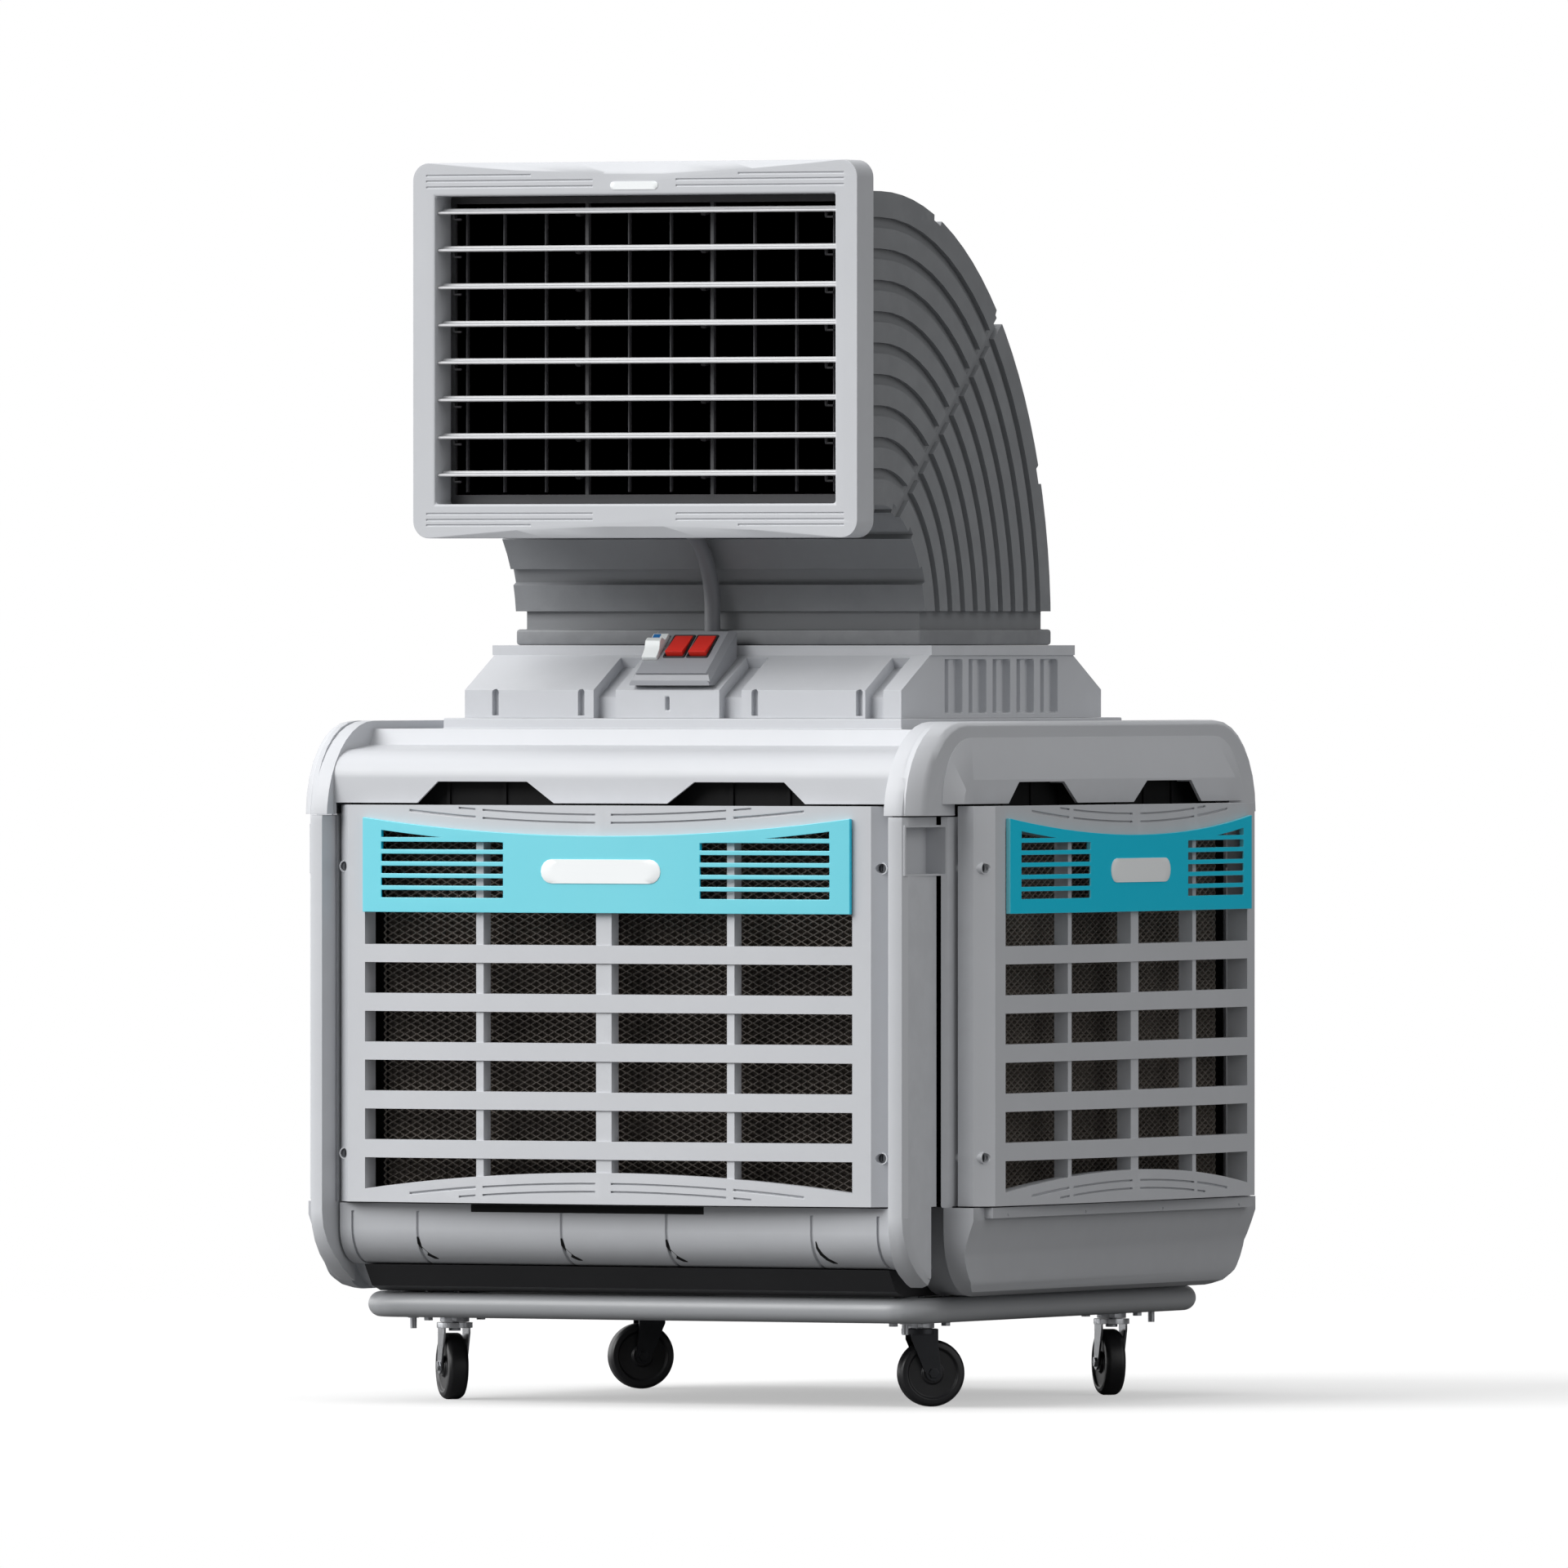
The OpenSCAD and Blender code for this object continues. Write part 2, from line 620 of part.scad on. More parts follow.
// recesses between the stiffening ribs of the hood's end walls
module hood_side_cuts() {
    for (m = [0, 1], y = [-160:80:160]) mirror([m, 0, 0]) difference() {
        box([hood_x - 14, y - 29, slab_top + 8], [hood_x + 1, y + 29, 1112]);
        box([hood_x - 15, y - 8, 1000], [hood_x - 5, y + 8, 1200]);
    }
}
module hood_cap() color(body_grey) difference() {
    union() {
        intersection() {
            yz(-hood_x, hood_x) polygon(hood_profile(0));
            box([-400, -400, slab_top + 0.2], [400, 400, 1200]);
        }
        box([-hood_x - 3, -hood_top_y - 8, hood_lip], [hood_x + 3, hood_top_y + 8, hood_top]);
    }
    intersection() {
        yz(-hood_x + 26, hood_x - 26) polygon(hood_profile(24));
        box([-400, -400, 1000], [400, 400, 1200]);
    }
    box([-hood_x + 26, -hood_y + 24, 1000], [hood_x - 26, hood_y - 24, hood_knee - 14]);
    box([-325, -195, 1100], [325, 195, 1200]);
    translate([0, -hood_top_y - 4, 1100]) cylinder(h = 60, r = 12.4);
    hood_front_cuts();
    rotate([0, 0, 180]) hood_front_cuts();
    hood_side_cuts();
}

// ---- duct elbow ----
// t runs from 0 on the inside of the turn to 1 on the outside
function sweep(t) = duct_in + t*(duct_out - duct_in);
function notch(a, marks, d) = len([for (m = marks) if (a > m[0] && a < m[1]) 1]) > 0 ? d : 0;
out_marks = [[19.8, 22.2], [44.8, 47.2], [69.3, 71.7]];
in_marks = [[21.4, 29.3], [47, 52], [70, 75]];
notch_d = 8;
inner_notch = 9;
function stepped(r, marks, d, list) = [for (a = list)
    let (rr = r + [1, 1]*notch(a, marks, d)) duct_c + [rr[0]*cos(a), rr[1]*sin(a)]];
// angles at which the outline has a corner: even steps, and both edges of every notch
function corner_angles(marks, step) = concat([for (a = [0:step:90]) if (notch_gap(a, marks) > 0.6) a],
    [for (m = marks, e = [m[0] - 0.1, m[0] + 0.1, m[1] - 0.1, m[1] + 0.1]) e]);
function notch_gap(a, marks) = min([for (m = marks, e = m) abs(a - e)]);
function ascending(list) = len(list) < 2 ? list : let (mid = list[floor(len(list)/2)]) concat(
    ascending([for (v = list) if (v < mid) v]), [mid], ascending([for (v = list) if (v > mid) v]));
out_list = ascending(corner_angles(out_marks, 3.6));
in_list = ascending(corner_angles(in_marks, 7.5));
module elbow_outline() {
    polygon(concat(stepped(duct_out, out_marks, -notch_d, out_list),
        [[duct_front, duct_c[1] + duct_out[1]], [duct_front, duct_c[1] + duct_in[1]]],
        [for (p = [len(in_list) - 1:-1:0]) stepped(duct_in, in_marks, inner_notch, in_list)[p]]));
}
module elbow_cavity() {
    a = duct_out - [1, 1]*duct_wall;
    b = duct_in + [1, 1]*duct_wall;
    polygon(concat([[duct_c[0] + a[0], 1100]], earc(duct_c, a, 0, 90, 18),
        [[-500, duct_c[1] + a[1]], [-500, duct_c[1] + b[1]]], earc(duct_c, b, 90, 0, 12),
        [[duct_c[0] + b[0], 1100]]));
}
function groove(k, a0, a1) = let (t = k/rib_count, r = sweep(t), w = [1, 1]*groove_w/2)
    concat(earc(duct_c, r + w, a0, a1, 14), earc(duct_c, r - w, a1, a0, 14));
module split_side(lower) {
    translate(split_at) rotate(split_angle) translate([-600, lower ? -1400 : 0.3]) square([1600, 1399.7]);
}
module split_band(w) {
    translate(split_at) rotate(split_angle) translate([-200, -w/2]) square([900, w]);
}
module rib_grooves(lower) {
    intersection() {
        for (k = [1:rib_count - 1]) {
            polygon(groove(k, lower ? 0 : 20, lower ? 70 : 90));
            if (!lower) translate([duct_front - 5, duct_c[1] + sweep(k/rib_count)[1] - groove_w/2])
                square([duct_c[0] - duct_front + 6, groove_w]);
        }
        translate(split_at) rotate(split_angle)
            translate([-600, lower ? -1400 : 0]) square([1600, 1400]);
    }
}
// rounded lug that ends the inner edge of the elbow behind the head's lower corner
module elbow_lug() {
    for (m = [0, 1]) mirror([m, 0, 0]) translate([333, -407, 1339]) rotate([0, 90, 0])
        cylinder(h = duct_x + 6 - 333, r = 20);
}
module elbow_half(lower) {
    difference() {
        intersection() {
            yz(-duct_x, duct_x) elbow_outline();
            yz(-duct_x - 1, duct_x + 1) split_side(lower);
            box([-400, -600, duct_base], [400, 400, 2000]);
        }
        yz(-duct_x + duct_wall, duct_x - duct_wall) elbow_cavity();
        for (m = [0, 1]) mirror([m, 0, 0]) {
            yz(duct_x - groove_d, duct_x + 5) rib_grooves(lower);
            yz(duct_x - groove_d, duct_x + 5) split_band(18);
        }
    }
}
module duct_lower() color(duct_grey) {
    neck = [331, 203];
    elbow_half(true);
    difference() {
        union() {
            box([-neck[0], -neck[1], flange_top], [neck[0], neck[1], duct_base + 2]);
            box([-341, -220, hood_top + 0.2], [341, 220, flange_top]);
        }
        box([-neck[0] + 10, -neck[1] + 10, 1100], [neck[0] - 10, neck[1] - 10, duct_base + 10]);
    }
}
module duct_upper() color(duct_grey) {
    elbow_half(false);
    elbow_lug();
}

// ---- discharge head ----
// shallow arched bevel along the lower edge of the head's face
module head_arch() {
    rise = 17;
    half = 345;
    deep = arch_deep;
    r = (half*half + rise*rise)/(2*rise);
    translate([0, -head_y, head_z0 + rise - r]) rotate([-90, 0, 0])
        translate([0, 0, -1]) cylinder(h = deep + 1, r1 = r + rise/deep, r2 = r - rise, $fn = 720);
}
module head_frame() color(body_grey) {
    z0 = head_z0;
    z1 = head_z1;
    difference() {
        xz(-head_y, head_back) polygon(rounded(-head_x, head_x, z0, z1, 26, 8));
        difference() {
            xz(-head_y + arch_deep + 4, head_back + 1) polygon(rounded(-head_x + 4, head_x - 4, z0 + 4, z1 - 4, 22, 8));
            box([-mouth_x - 4, -500, mouth_z0 - 4], [mouth_x + 4, -400, mouth_z1 + 4]);
        }
        box([-mouth_x, -500, mouth_z0], [mouth_x, -400, mouth_z1]);
        head_arch();
        translate([0, 0, z0 + z1]) mirror([0, 0, 1]) head_arch();
        for (s = [-1, 1], z = [z0 + 35, z0 + 26, z1 - 38, z1 - 29])
            box([s*210 - 140, -head_y - 1, z], [s*210 + 140, -head_y + 2, z + 2.6]);
        for (s = [-1, 1], z = [z0 + 18, z1 - 20.6])
            box([s*262 - 88, -head_y - 1, z], [s*262 + 88, -head_y + 2, z + 2.6]);
        for (i = [0:7]) translate([-mouth_x - 4.5, blade_y, blade_z + (i - 3.5)*blade_pitch])
            rotate([0, 90, 0]) cylinder(h = 2*mouth_x + 9, r = pin_r + 0.05, $fn = 24);
    }
}
module head_sleeve() color(black) {
    inner_x = sleeve_x - sleeve_t;
    difference() {
        union() {
            box([-sleeve_x, sleeve_y, sleeve_z0], [sleeve_x, -392, sleeve_z1]);
            box([-mouth_x + 0.5, sleeve_y, mouth_z0 + 0.5], [mouth_x - 0.5, sleeve_y + 4, mouth_z1 - 0.5]);
        }
        box([-inner_x, -500, sleeve_z0 + sleeve_t], [inner_x, -390, sleeve_z1 - sleeve_t]);
        for (x = vane_x) translate([x, vane_y, 1300]) cylinder(h = 550, r = pin_r + 0.05, $fn = 24);
    }
    for (s = [-1, 1]) box([s*stay_x - 3, sleeve_y, sleeve_z0 + 1], [s*stay_x + 3, -430, sleeve_z1 - 1]);
}
module louvre_blade(i) {
    end = mouth_x - 1;
    cut = 319.3;
    half = blade_chord/2;
    color("#c8cacd") translate([0, blade_y, blade_z + (i - 4.5)*blade_pitch]) rotate([blade_tilt, 0, 0]) {
        yz(-end, cut) union() {
            polygon([[-half + 2, -blade_t/2], [half - 2, -blade_t/4],
                [half - 2, blade_t/4], [-half + 2, blade_t/2]]);
            translate([-half + 2, 0]) circle(r = blade_t/2, $fn = 24);
            translate([half - 2, 0]) circle(r = blade_t/4, $fn = 24);
            circle(r = 4, $fn = 24);
        }
        yz(cut - 1, end) union() {
            polygon([[-half + 2, -blade_t/2], [0, -blade_t/2.6], [0, blade_t/2.6], [-half + 2, blade_t/2]]);
            translate([-half + 2, 0]) circle(r = blade_t/2, $fn = 24);
            circle(r = 4, $fn = 24);
        }
        translate([-mouth_x - 3.8, 0, 0]) rotate([0, 90, 0])
            cylinder(h = 2*mouth_x + 7.6, r = pin_r, $fn = 24);
        translate([cut - 3, crank, 0]) rotate([0, 90, 0]) cylinder(h = 9, r = crank_r, $fn = 24);
    }
}
function blade_crank_y() = blade_y + crank*cos(blade_tilt);
function blade_crank_dz() = crank*sin(blade_tilt);
module blade_link() color(black) {
    lo = blade_z - 3.5*blade_pitch + blade_crank_dz();
    difference() {
        box([321.5, blade_crank_y() - 4, lo - 7], [324.5, blade_crank_y() + 4, lo + 7*blade_pitch + 7]);
        for (i = [0:7]) translate([320, blade_crank_y(), lo + i*blade_pitch]) rotate([0, 90, 0])
            cylinder(h = 6, r = crank_r + 0.12, $fn = 24);
    }
}
module vane(i) {
    color(black) translate([vane_x[i - 1], vane_y, 0]) {
        translate([0, 0, vane_z0]) linear_extrude(vane_z1 - vane_z0) union() {
            polygon([[-1.5, -vane_chord/2 + 1.5], [1.5, -vane_chord/2 + 1.5],
                [0.9, vane_chord/2], [-0.9, vane_chord/2]]);
            translate([0, -vane_chord/2 + 1.5]) circle(r = 1.5, $fn = 16);
            circle(r = 4, $fn = 24);
        }
        translate([0, 0, sleeve_z0]) cylinder(h = sleeve_z1 - sleeve_z0, r = pin_r, $fn = 24);
        translate([0, crank, vane_z1 - 3]) cylinder(h = 8, r = crank_r, $fn = 24);
    }
}
module vane_link() color(black) difference() {
    box([vane_x[0] - 6, vane_y + crank - 4, vane_z1 + 1.2], [vane_x[7] + 6, vane_y + crank + 4, vane_z1 + 4.2]);
    for (x = vane_x) translate([x, vane_y + crank, vane_z1]) cylinder(h = 6, r = crank_r + 0.12, $fn = 24);
}
module swing_motor() color(steel) translate([-90, -372, 1354.5]) {
    difference() {
        cylinder(h = 26, r = 17);
        translate([0, 0, 20]) cylinder(h = 7, r = 4);
    }
    box([-26, -8, 0], [26, 8, 2]);
}

// ---- controls ----
module on_panel() {
    translate([box_x, panel_foot[0], panel_foot[1]]) rotate([panel_tilt, 0, 0])
        translate([0, switch_s, 0]) children();
}
module control_box() color("#9b9da2") {
    z_at = function (y) hood_knee + (hood_lip - hood_knee)*(y + hood_y)/(hood_y - hood_top_y - 8) + 0.5;
    difference() {
        union() {
            yz(box_x - box_half, box_x + box_half) polygon([[-342, z_at(-hood_y + 12)], panel_foot, panel_head,
                [-251, panel_head[1]], [-251, z_at(-251)], [-hood_y + 12, z_at(-hood_y + 12)]]);
        }
        for (s = [-1, 1]) on_panel() translate([s*box_half, 0, 0]) rotate([0, 45, 0])
            cube([box_chamfer, 400, box_chamfer], center = true);
        on_panel() translate([0, -switch_s, 0]) rotate([45 - panel_tilt/2, 0, 0])
            cube([400, box_chamfer, box_chamfer], center = true);
        for (x = [switch_x[1], switch_x[2]]) on_panel() box([x - 15.5, -23.5, -16], [x + 15.5, 23.5, 20]);
        on_panel() box([switch_x[0] - 13.5, -33.5, -16], [switch_x[0] + 13.5, 24, 20]);
        for (x = [switch_x[1], switch_x[2]]) on_panel() translate([x - 18, 0, -2]) rotate([0, 90, 0])
            cylinder(h = 36, r = 2.1);
        on_panel() translate([switch_x[0] - 16, -4, -2]) rotate([0, 90, 0]) cylinder(h = 32, r = 2.1);
    }
}
module rocker(i) color("#e8372c") on_panel() translate([switch_x[i], 0, -2]) {
    yz(-14.8, 14.8) polygon([[-21, -4], [21, -4], [21.5, 4.5], [0, 6.5], [-21.5, 10]]);
    translate([-17.4, 0, 0]) rotate([0, 90, 0]) cylinder(h = 34.8, r = 2);
}
module main_switch() color("#eef2f2") on_panel() translate([switch_x[0], -4, -2]) {
    yz(-12.8, 12.8) polygon([[-27, -4], [26, -4], [26.5, 8], [12, 8], [6, 17], [-2, 18], [-12, 10], [-27.5, 7]]);
    translate([-15.4, 0, 0]) rotate([0, 90, 0]) cylinder(h = 30.8, r = 2);
}
module conduit() color(black) {
    r = 12;
    bend = 128;
    y = -hood_top_y - 4;
    translate([0, y, 1122]) cylinder(h = 1190 - 1122, r = r);
    translate([0, y - bend, 1190]) rotate([90, 0, 90]) rotate_extrude(angle = 90)
        translate([bend, 0]) circle(r = r);
    translate([0, y - bend, 1190 + bend]) rotate([90, 0, 0]) cylinder(h = 72, r = r);
}

// ---- fan ----
module fan_ring() color(black) rotate_extrude($fn = 96) polygon([[ring_r, 930], [ring_r + 5, 930],
    [ring_r + 5, 994], [ring_r + 26, 994], [ring_r + 26, 999], [ring_r + 5, 999], [ring_r + 5, 1006], [ring_r, 1006]]);
module motor_bracket() color(steel) difference() {
    union() {
        for (a = [0, 90]) rotate([0, 0, a]) box([-ring_r - 4, -18, 922], [ring_r + 4, 18, 929.5]);
        translate([0, 0, 922]) cylinder(h = 7.5, r = 85);
    }
    translate([0, 0, 900]) cylinder(h = 60, r = 18);
}
module fan_motor() color("#55585c") difference() {
    union() {
        translate([0, 0, 800]) cylinder(h = 121.5, r = 72);
        for (a = [0:15:345]) rotate([0, 0, a]) box([70, -1.5, 812], [79, 1.5, 908]);
    }
    translate([0, 0, 860]) cylinder(h = 90, r = shaft_r + 0.1);
}
module fan_rotor() color("#33363a") {
    difference() {
        translate([0, 0, 940]) cylinder(h = 62, r = 62);
        translate([0, 0, 936]) cylinder(h = 50, r = 55);
    }
    translate([0, 0, 864]) cylinder(h = 138, r = shaft_r);
    intersection() {
        for (a = [0:60:300]) rotate([0, 0, a]) translate([0, 0, 971]) rotate([34, 0, 0])
            box([58, -50, -2], [fan_r + 10, 50, 2]);
        translate([0, 0, 936]) cylinder(h = 70, r = fan_r, $fn = 96);
    }
}

// ---- water system ----
module water_pump() color("#2f3b46") translate([pump_at[0], pump_at[1], 0]) {
    translate([0, 0, tank_floor + wall + 0.3]) cylinder(h = 18, r = 34);
    translate([0, 0, 228]) cylinder(h = 70, r = 26);
    translate([0, 0, 296]) cylinder(h = 24, r = 8);
}
module ring_main(r) {
    bend = 25;
    four_sides() {
        translate([-main_half + bend, -main_half, pipe_z]) rotate([0, 90, 0])
            cylinder(h = 2*(main_half - bend), r = r);
        translate([main_half - bend, -main_half + bend, pipe_z]) rotate([0, 0, -90])
            rotate_extrude(angle = 90) translate([bend, 0]) circle(r = r);
    }
    translate([pump_at[0], pump_at[1], pipe_z]) rotate([0, 90, 0])
        cylinder(h = main_half - pump_at[0], r = r);
    translate([pump_at[0], pump_at[1], pipe_z]) sphere(r = r);
}
module water_pipes() color("#d9dcde") difference() {
    union() {
        ring_main(pipe_r);
        translate([pump_at[0], pump_at[1], 322]) cylinder(h = pipe_z - 322, r = pipe_r);
    }
    ring_main(pipe_r - 1.5);
    translate([pump_at[0], pump_at[1], 321]) cylinder(h = pipe_z - 321, r = pipe_r - 1.5);
    four_sides() for (u = [-350:50:350]) translate([u, -main_half, 870]) cylinder(h = 18, r = 1.5, $fn = 16);
}
module float_valve() color("#d9b44a") translate([inlet_x, 0, 0]) {
    translate([0, 528, inlet_z]) rotate([-90, 0, 0]) cylinder(h = 29, r = 9.6);
    translate([0, 556, inlet_z]) rotate([-90, 0, 0]) cylinder(h = 34, r = 10.48);
    translate([0, 531, inlet_z]) rotate([-90, 0, 0]) cylinder(h = roll_y - wall - 531 - 0.3, r = 15, $fn = 6);
    difference() {
        box([-9, 497, 271], [9, 532, 290]);
        box([-4, 490, 260], [4, 518, 300]);
        translate([-20, float_pivot[0], float_pivot[1] - 5]) rotate([0, 90, 0]) cylinder(h = 40, r = 2.1);
    }
}
module float_arm() color("#e4e6e8") translate([inlet_x, float_pivot[0], float_pivot[1] - 5]) {
    translate([-10.5, 0, 0]) rotate([0, 90, 0]) cylinder(h = 21, r = 2);
    box([-3, -float_len, -3], [3, 4, 3]);
    translate([0, -float_len, -14]) sphere(r = 26);
}

tube_frame();
frame_bolts();
caster_plates();
caster_fork(0);  // caster_fork_1
caster_fork(1);  // caster_fork_2
caster_fork(2);  // caster_fork_3
caster_fork(3);  // caster_fork_4
caster_wheel(0);  // caster_wheel_1
caster_wheel(1);  // caster_wheel_2
caster_wheel(2);  // caster_wheel_3
caster_wheel(3);  // caster_wheel_4
base_pan();
water_tank();
drain_plug();
corner_posts();
top_cover();
grille();  // front_grille
rotate([0, 0, 180]) grille();  // rear_grille
rotate([0, 0, -90]) grille();  // left_grille
rotate([0, 0, 90]) grille();  // right_grille
fascia_panels();
grille_screws();
cooling_pads();
hood_cap();
duct_lower();
duct_upper();
head_frame();
head_sleeve();
louvre_blade(1);  // louvre_blade_1
louvre_blade(2);  // louvre_blade_2
louvre_blade(3);  // louvre_blade_3
louvre_blade(4);  // louvre_blade_4
louvre_blade(5);  // louvre_blade_5
louvre_blade(6);  // louvre_blade_6
louvre_blade(7);  // louvre_blade_7
louvre_blade(8);  // louvre_blade_8
blade_link();
vane(1);  // vane_1
vane(2);  // vane_2
vane(3);  // vane_3
vane(4);  // vane_4
vane(5);  // vane_5
vane(6);  // vane_6
vane(7);  // vane_7
vane(8);  // vane_8
vane_link();
swing_motor();
control_box();
rocker(1);  // rocker_1
rocker(2);  // rocker_2
main_switch();
conduit();
fan_ring();
motor_bracket();
fan_motor();
fan_rotor();
water_pump();
water_pipes();
float_valve();
float_arm();
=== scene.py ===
import json
import math

import bmesh
import bpy
from mathutils import Matrix, Vector
from mathutils.bvhtree import BVHTree

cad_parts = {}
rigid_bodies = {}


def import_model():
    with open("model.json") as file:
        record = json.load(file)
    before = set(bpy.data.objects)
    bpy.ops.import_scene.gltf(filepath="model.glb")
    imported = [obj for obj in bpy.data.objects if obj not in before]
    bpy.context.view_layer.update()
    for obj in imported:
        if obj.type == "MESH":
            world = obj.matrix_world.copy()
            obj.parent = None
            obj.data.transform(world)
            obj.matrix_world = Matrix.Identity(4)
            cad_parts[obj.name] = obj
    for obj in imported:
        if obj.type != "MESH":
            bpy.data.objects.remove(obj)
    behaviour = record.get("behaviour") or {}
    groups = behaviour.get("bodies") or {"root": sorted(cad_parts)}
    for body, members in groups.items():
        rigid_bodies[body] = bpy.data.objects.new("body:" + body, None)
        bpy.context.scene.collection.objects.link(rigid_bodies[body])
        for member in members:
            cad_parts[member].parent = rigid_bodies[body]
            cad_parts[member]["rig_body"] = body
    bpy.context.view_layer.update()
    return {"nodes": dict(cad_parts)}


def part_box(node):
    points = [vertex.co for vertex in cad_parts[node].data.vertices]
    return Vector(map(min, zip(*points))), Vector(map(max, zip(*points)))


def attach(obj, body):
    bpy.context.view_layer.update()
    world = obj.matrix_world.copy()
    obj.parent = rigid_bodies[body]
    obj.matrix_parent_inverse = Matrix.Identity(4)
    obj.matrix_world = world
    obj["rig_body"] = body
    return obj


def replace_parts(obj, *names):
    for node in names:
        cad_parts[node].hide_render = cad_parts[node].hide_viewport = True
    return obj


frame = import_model()
N = frame["nodes"]
MM = 0.001
# each side of the cabinet and its turn about the upright axis, in degrees
SIDES = (("front", 0), ("right", 90), ("rear", 180), ("left", 270))
# rays that find a surface start this far from the upright axis, clear of the cabinet
OUTSIDE = 1.2


# ---------------------------------------------------------------- materials
def lin(c):
    """sRGB 0..255 to linear 0..1."""
    out = []
    for v in c:
        v = v / 255.0
        out.append(v / 12.92 if v <= 0.04045 else ((v + 0.055) / 1.055) ** 2.4)
    return out


def new_material(name):
    m = bpy.data.materials.new(name)
    m.use_nodes = True
    nt = m.node_tree
    return m, nt, nt.nodes["Principled BSDF"]


def link(nt, a, out, b, inp):
    nt.links.new(a.outputs[out], b.inputs[inp])


def add(nt, kind, **props):
    n = nt.nodes.new(kind)
    for k, v in props.items():
        setattr(n, k, v)
    return n


def noise(nt, scale, detail=2.0, rough=0.5, stretch=None):
    tc = add(nt, "ShaderNodeTexCoord")
    nz = add(nt, "ShaderNodeTexNoise")
    nz.inputs["Scale"].default_value = scale
    nz.inputs["Detail"].default_value = detail
    nz.inputs["Roughness"].default_value = rough
    if stretch:
        mp = add(nt, "ShaderNodeMapping")
        mp.inputs["Scale"].default_value = stretch
        link(nt, tc, "Object", mp, "Vector")
        link(nt, mp, "Vector", nz, "Vector")
    else:
        link(nt, tc, "Object", nz, "Vector")
    return nz


def ramp(nt, src, out, stops):
    r = add(nt, "ShaderNodeValToRGB")
    e = r.color_ramp.elements
    while len(e) < len(stops):
        e.new(0.5)
    for i, (pos, col) in enumerate(stops):
        e[i].position = pos
        e[i].color = (*col, 1.0) if len(col) == 3 else col
    link(nt, src, out, r, "Fac")
    return r


def moulded(name, rgb, rough=0.42, mottle=0.04, grain=0.10, grain_scale=1500.0,
            spec=0.5, coat=0.0, edge_wear_and_highlight=0.0, side=None):
    """Injection-moulded plastic: faint mottling, a fine moulded grain and uneven gloss; sharp edges painted
    paler if asked (partly rubbed wear, partly painted highlight), and with side a painted reflection that
    leaves the front and back paler than the ends.
    """
    m, nt, b = new_material(name)
    base = lin(rgb)
    big = noise(nt, 4.0, 4.0, 0.55)
    lo = [c * (1 - mottle) for c in base]
    hi = [min(1.0, c * (1 + mottle)) for c in base]
    col = ramp(nt, big, "Fac", [(0.32, lo), (0.68, hi)])
    if edge_wear_and_highlight:
        # sharp edges are painted paler, found from how sharply the surface turns: partly rubbed wear, partly
        # a painted highlight on crests and edges
        geo = add(nt, "ShaderNodeNewGeometry")
        edge = ramp(nt, geo, "Pointiness", [(0.515, (0, 0, 0)), (0.60, (1, 1, 1))])
        patch = noise(nt, 22.0, 5.0, 0.6)
        spots = ramp(nt, patch, "Fac", [(0.40, (0, 0, 0)), (0.62, (1, 1, 1))])
        both = add(nt, "ShaderNodeMath", operation="MULTIPLY")
        link(nt, edge, "Color", both, 0)
        link(nt, spots, "Color", both, 1)
        amount = add(nt, "ShaderNodeMath", operation="MULTIPLY")
        amount.inputs[1].default_value = edge_wear_and_highlight
        link(nt, both, 0, amount, 0)
        mix = add(nt, "ShaderNodeMix", data_type="RGBA")
        link(nt, amount, 0, mix, 0)
        nt.links.new(col.outputs["Color"], mix.inputs[6])
        mix.inputs[7].default_value = (*[min(1.0, c * 1.35 + 0.05) for c in base], 1)
        nt.links.new(mix.outputs[2], b.inputs["Base Color"])
    else:
        link(nt, col, "Color", b, "Base Color")
    if side:
        # painted reflection: the front and back keep the paler base colour as if glossed by a white room,
        # and the ends turn to the deeper side colour
        geo = add(nt, "ShaderNodeNewGeometry")
        sep = add(nt, "ShaderNodeSeparateXYZ")
        link(nt, geo, "True Normal", sep, "Vector")
        turn = add(nt, "ShaderNodeMath", operation="ABSOLUTE")
        link(nt, sep, "X", turn, 0)
        blend = add(nt, "ShaderNodeMix", data_type="RGBA")
        link(nt, turn, 0, blend, 0)
        nt.links.new(col.outputs["Color"], blend.inputs[6])
        blend.inputs[7].default_value = (*lin(side), 1)
        nt.links.new(blend.outputs[2], b.inputs["Base Color"])
    gloss = noise(nt, 30.0, 3.0, 0.5)
    mr = add(nt, "ShaderNodeMapRange")
    mr.inputs["To Min"].default_value = rough - 0.05
    mr.inputs["To Max"].default_value = rough + 0.07
    link(nt, gloss, "Fac", mr, "Value")
    link(nt, mr, "Result", b, "Roughness")
    fine = noise(nt, grain_scale, 2.0, 0.6)
    bump = add(nt, "ShaderNodeBump")
    bump.inputs["Strength"].default_value = grain
    bump.inputs["Distance"].default_value = 0.0004
    link(nt, fine, "Fac", bump, "Height")
    link(nt, bump, "Normal", b, "Normal")
    b.inputs["Specular IOR Level"].default_value = spec
    if coat:
        b.inputs["Coat Weight"].default_value = coat
        b.inputs["Coat Roughness"].default_value = 0.12
    return m


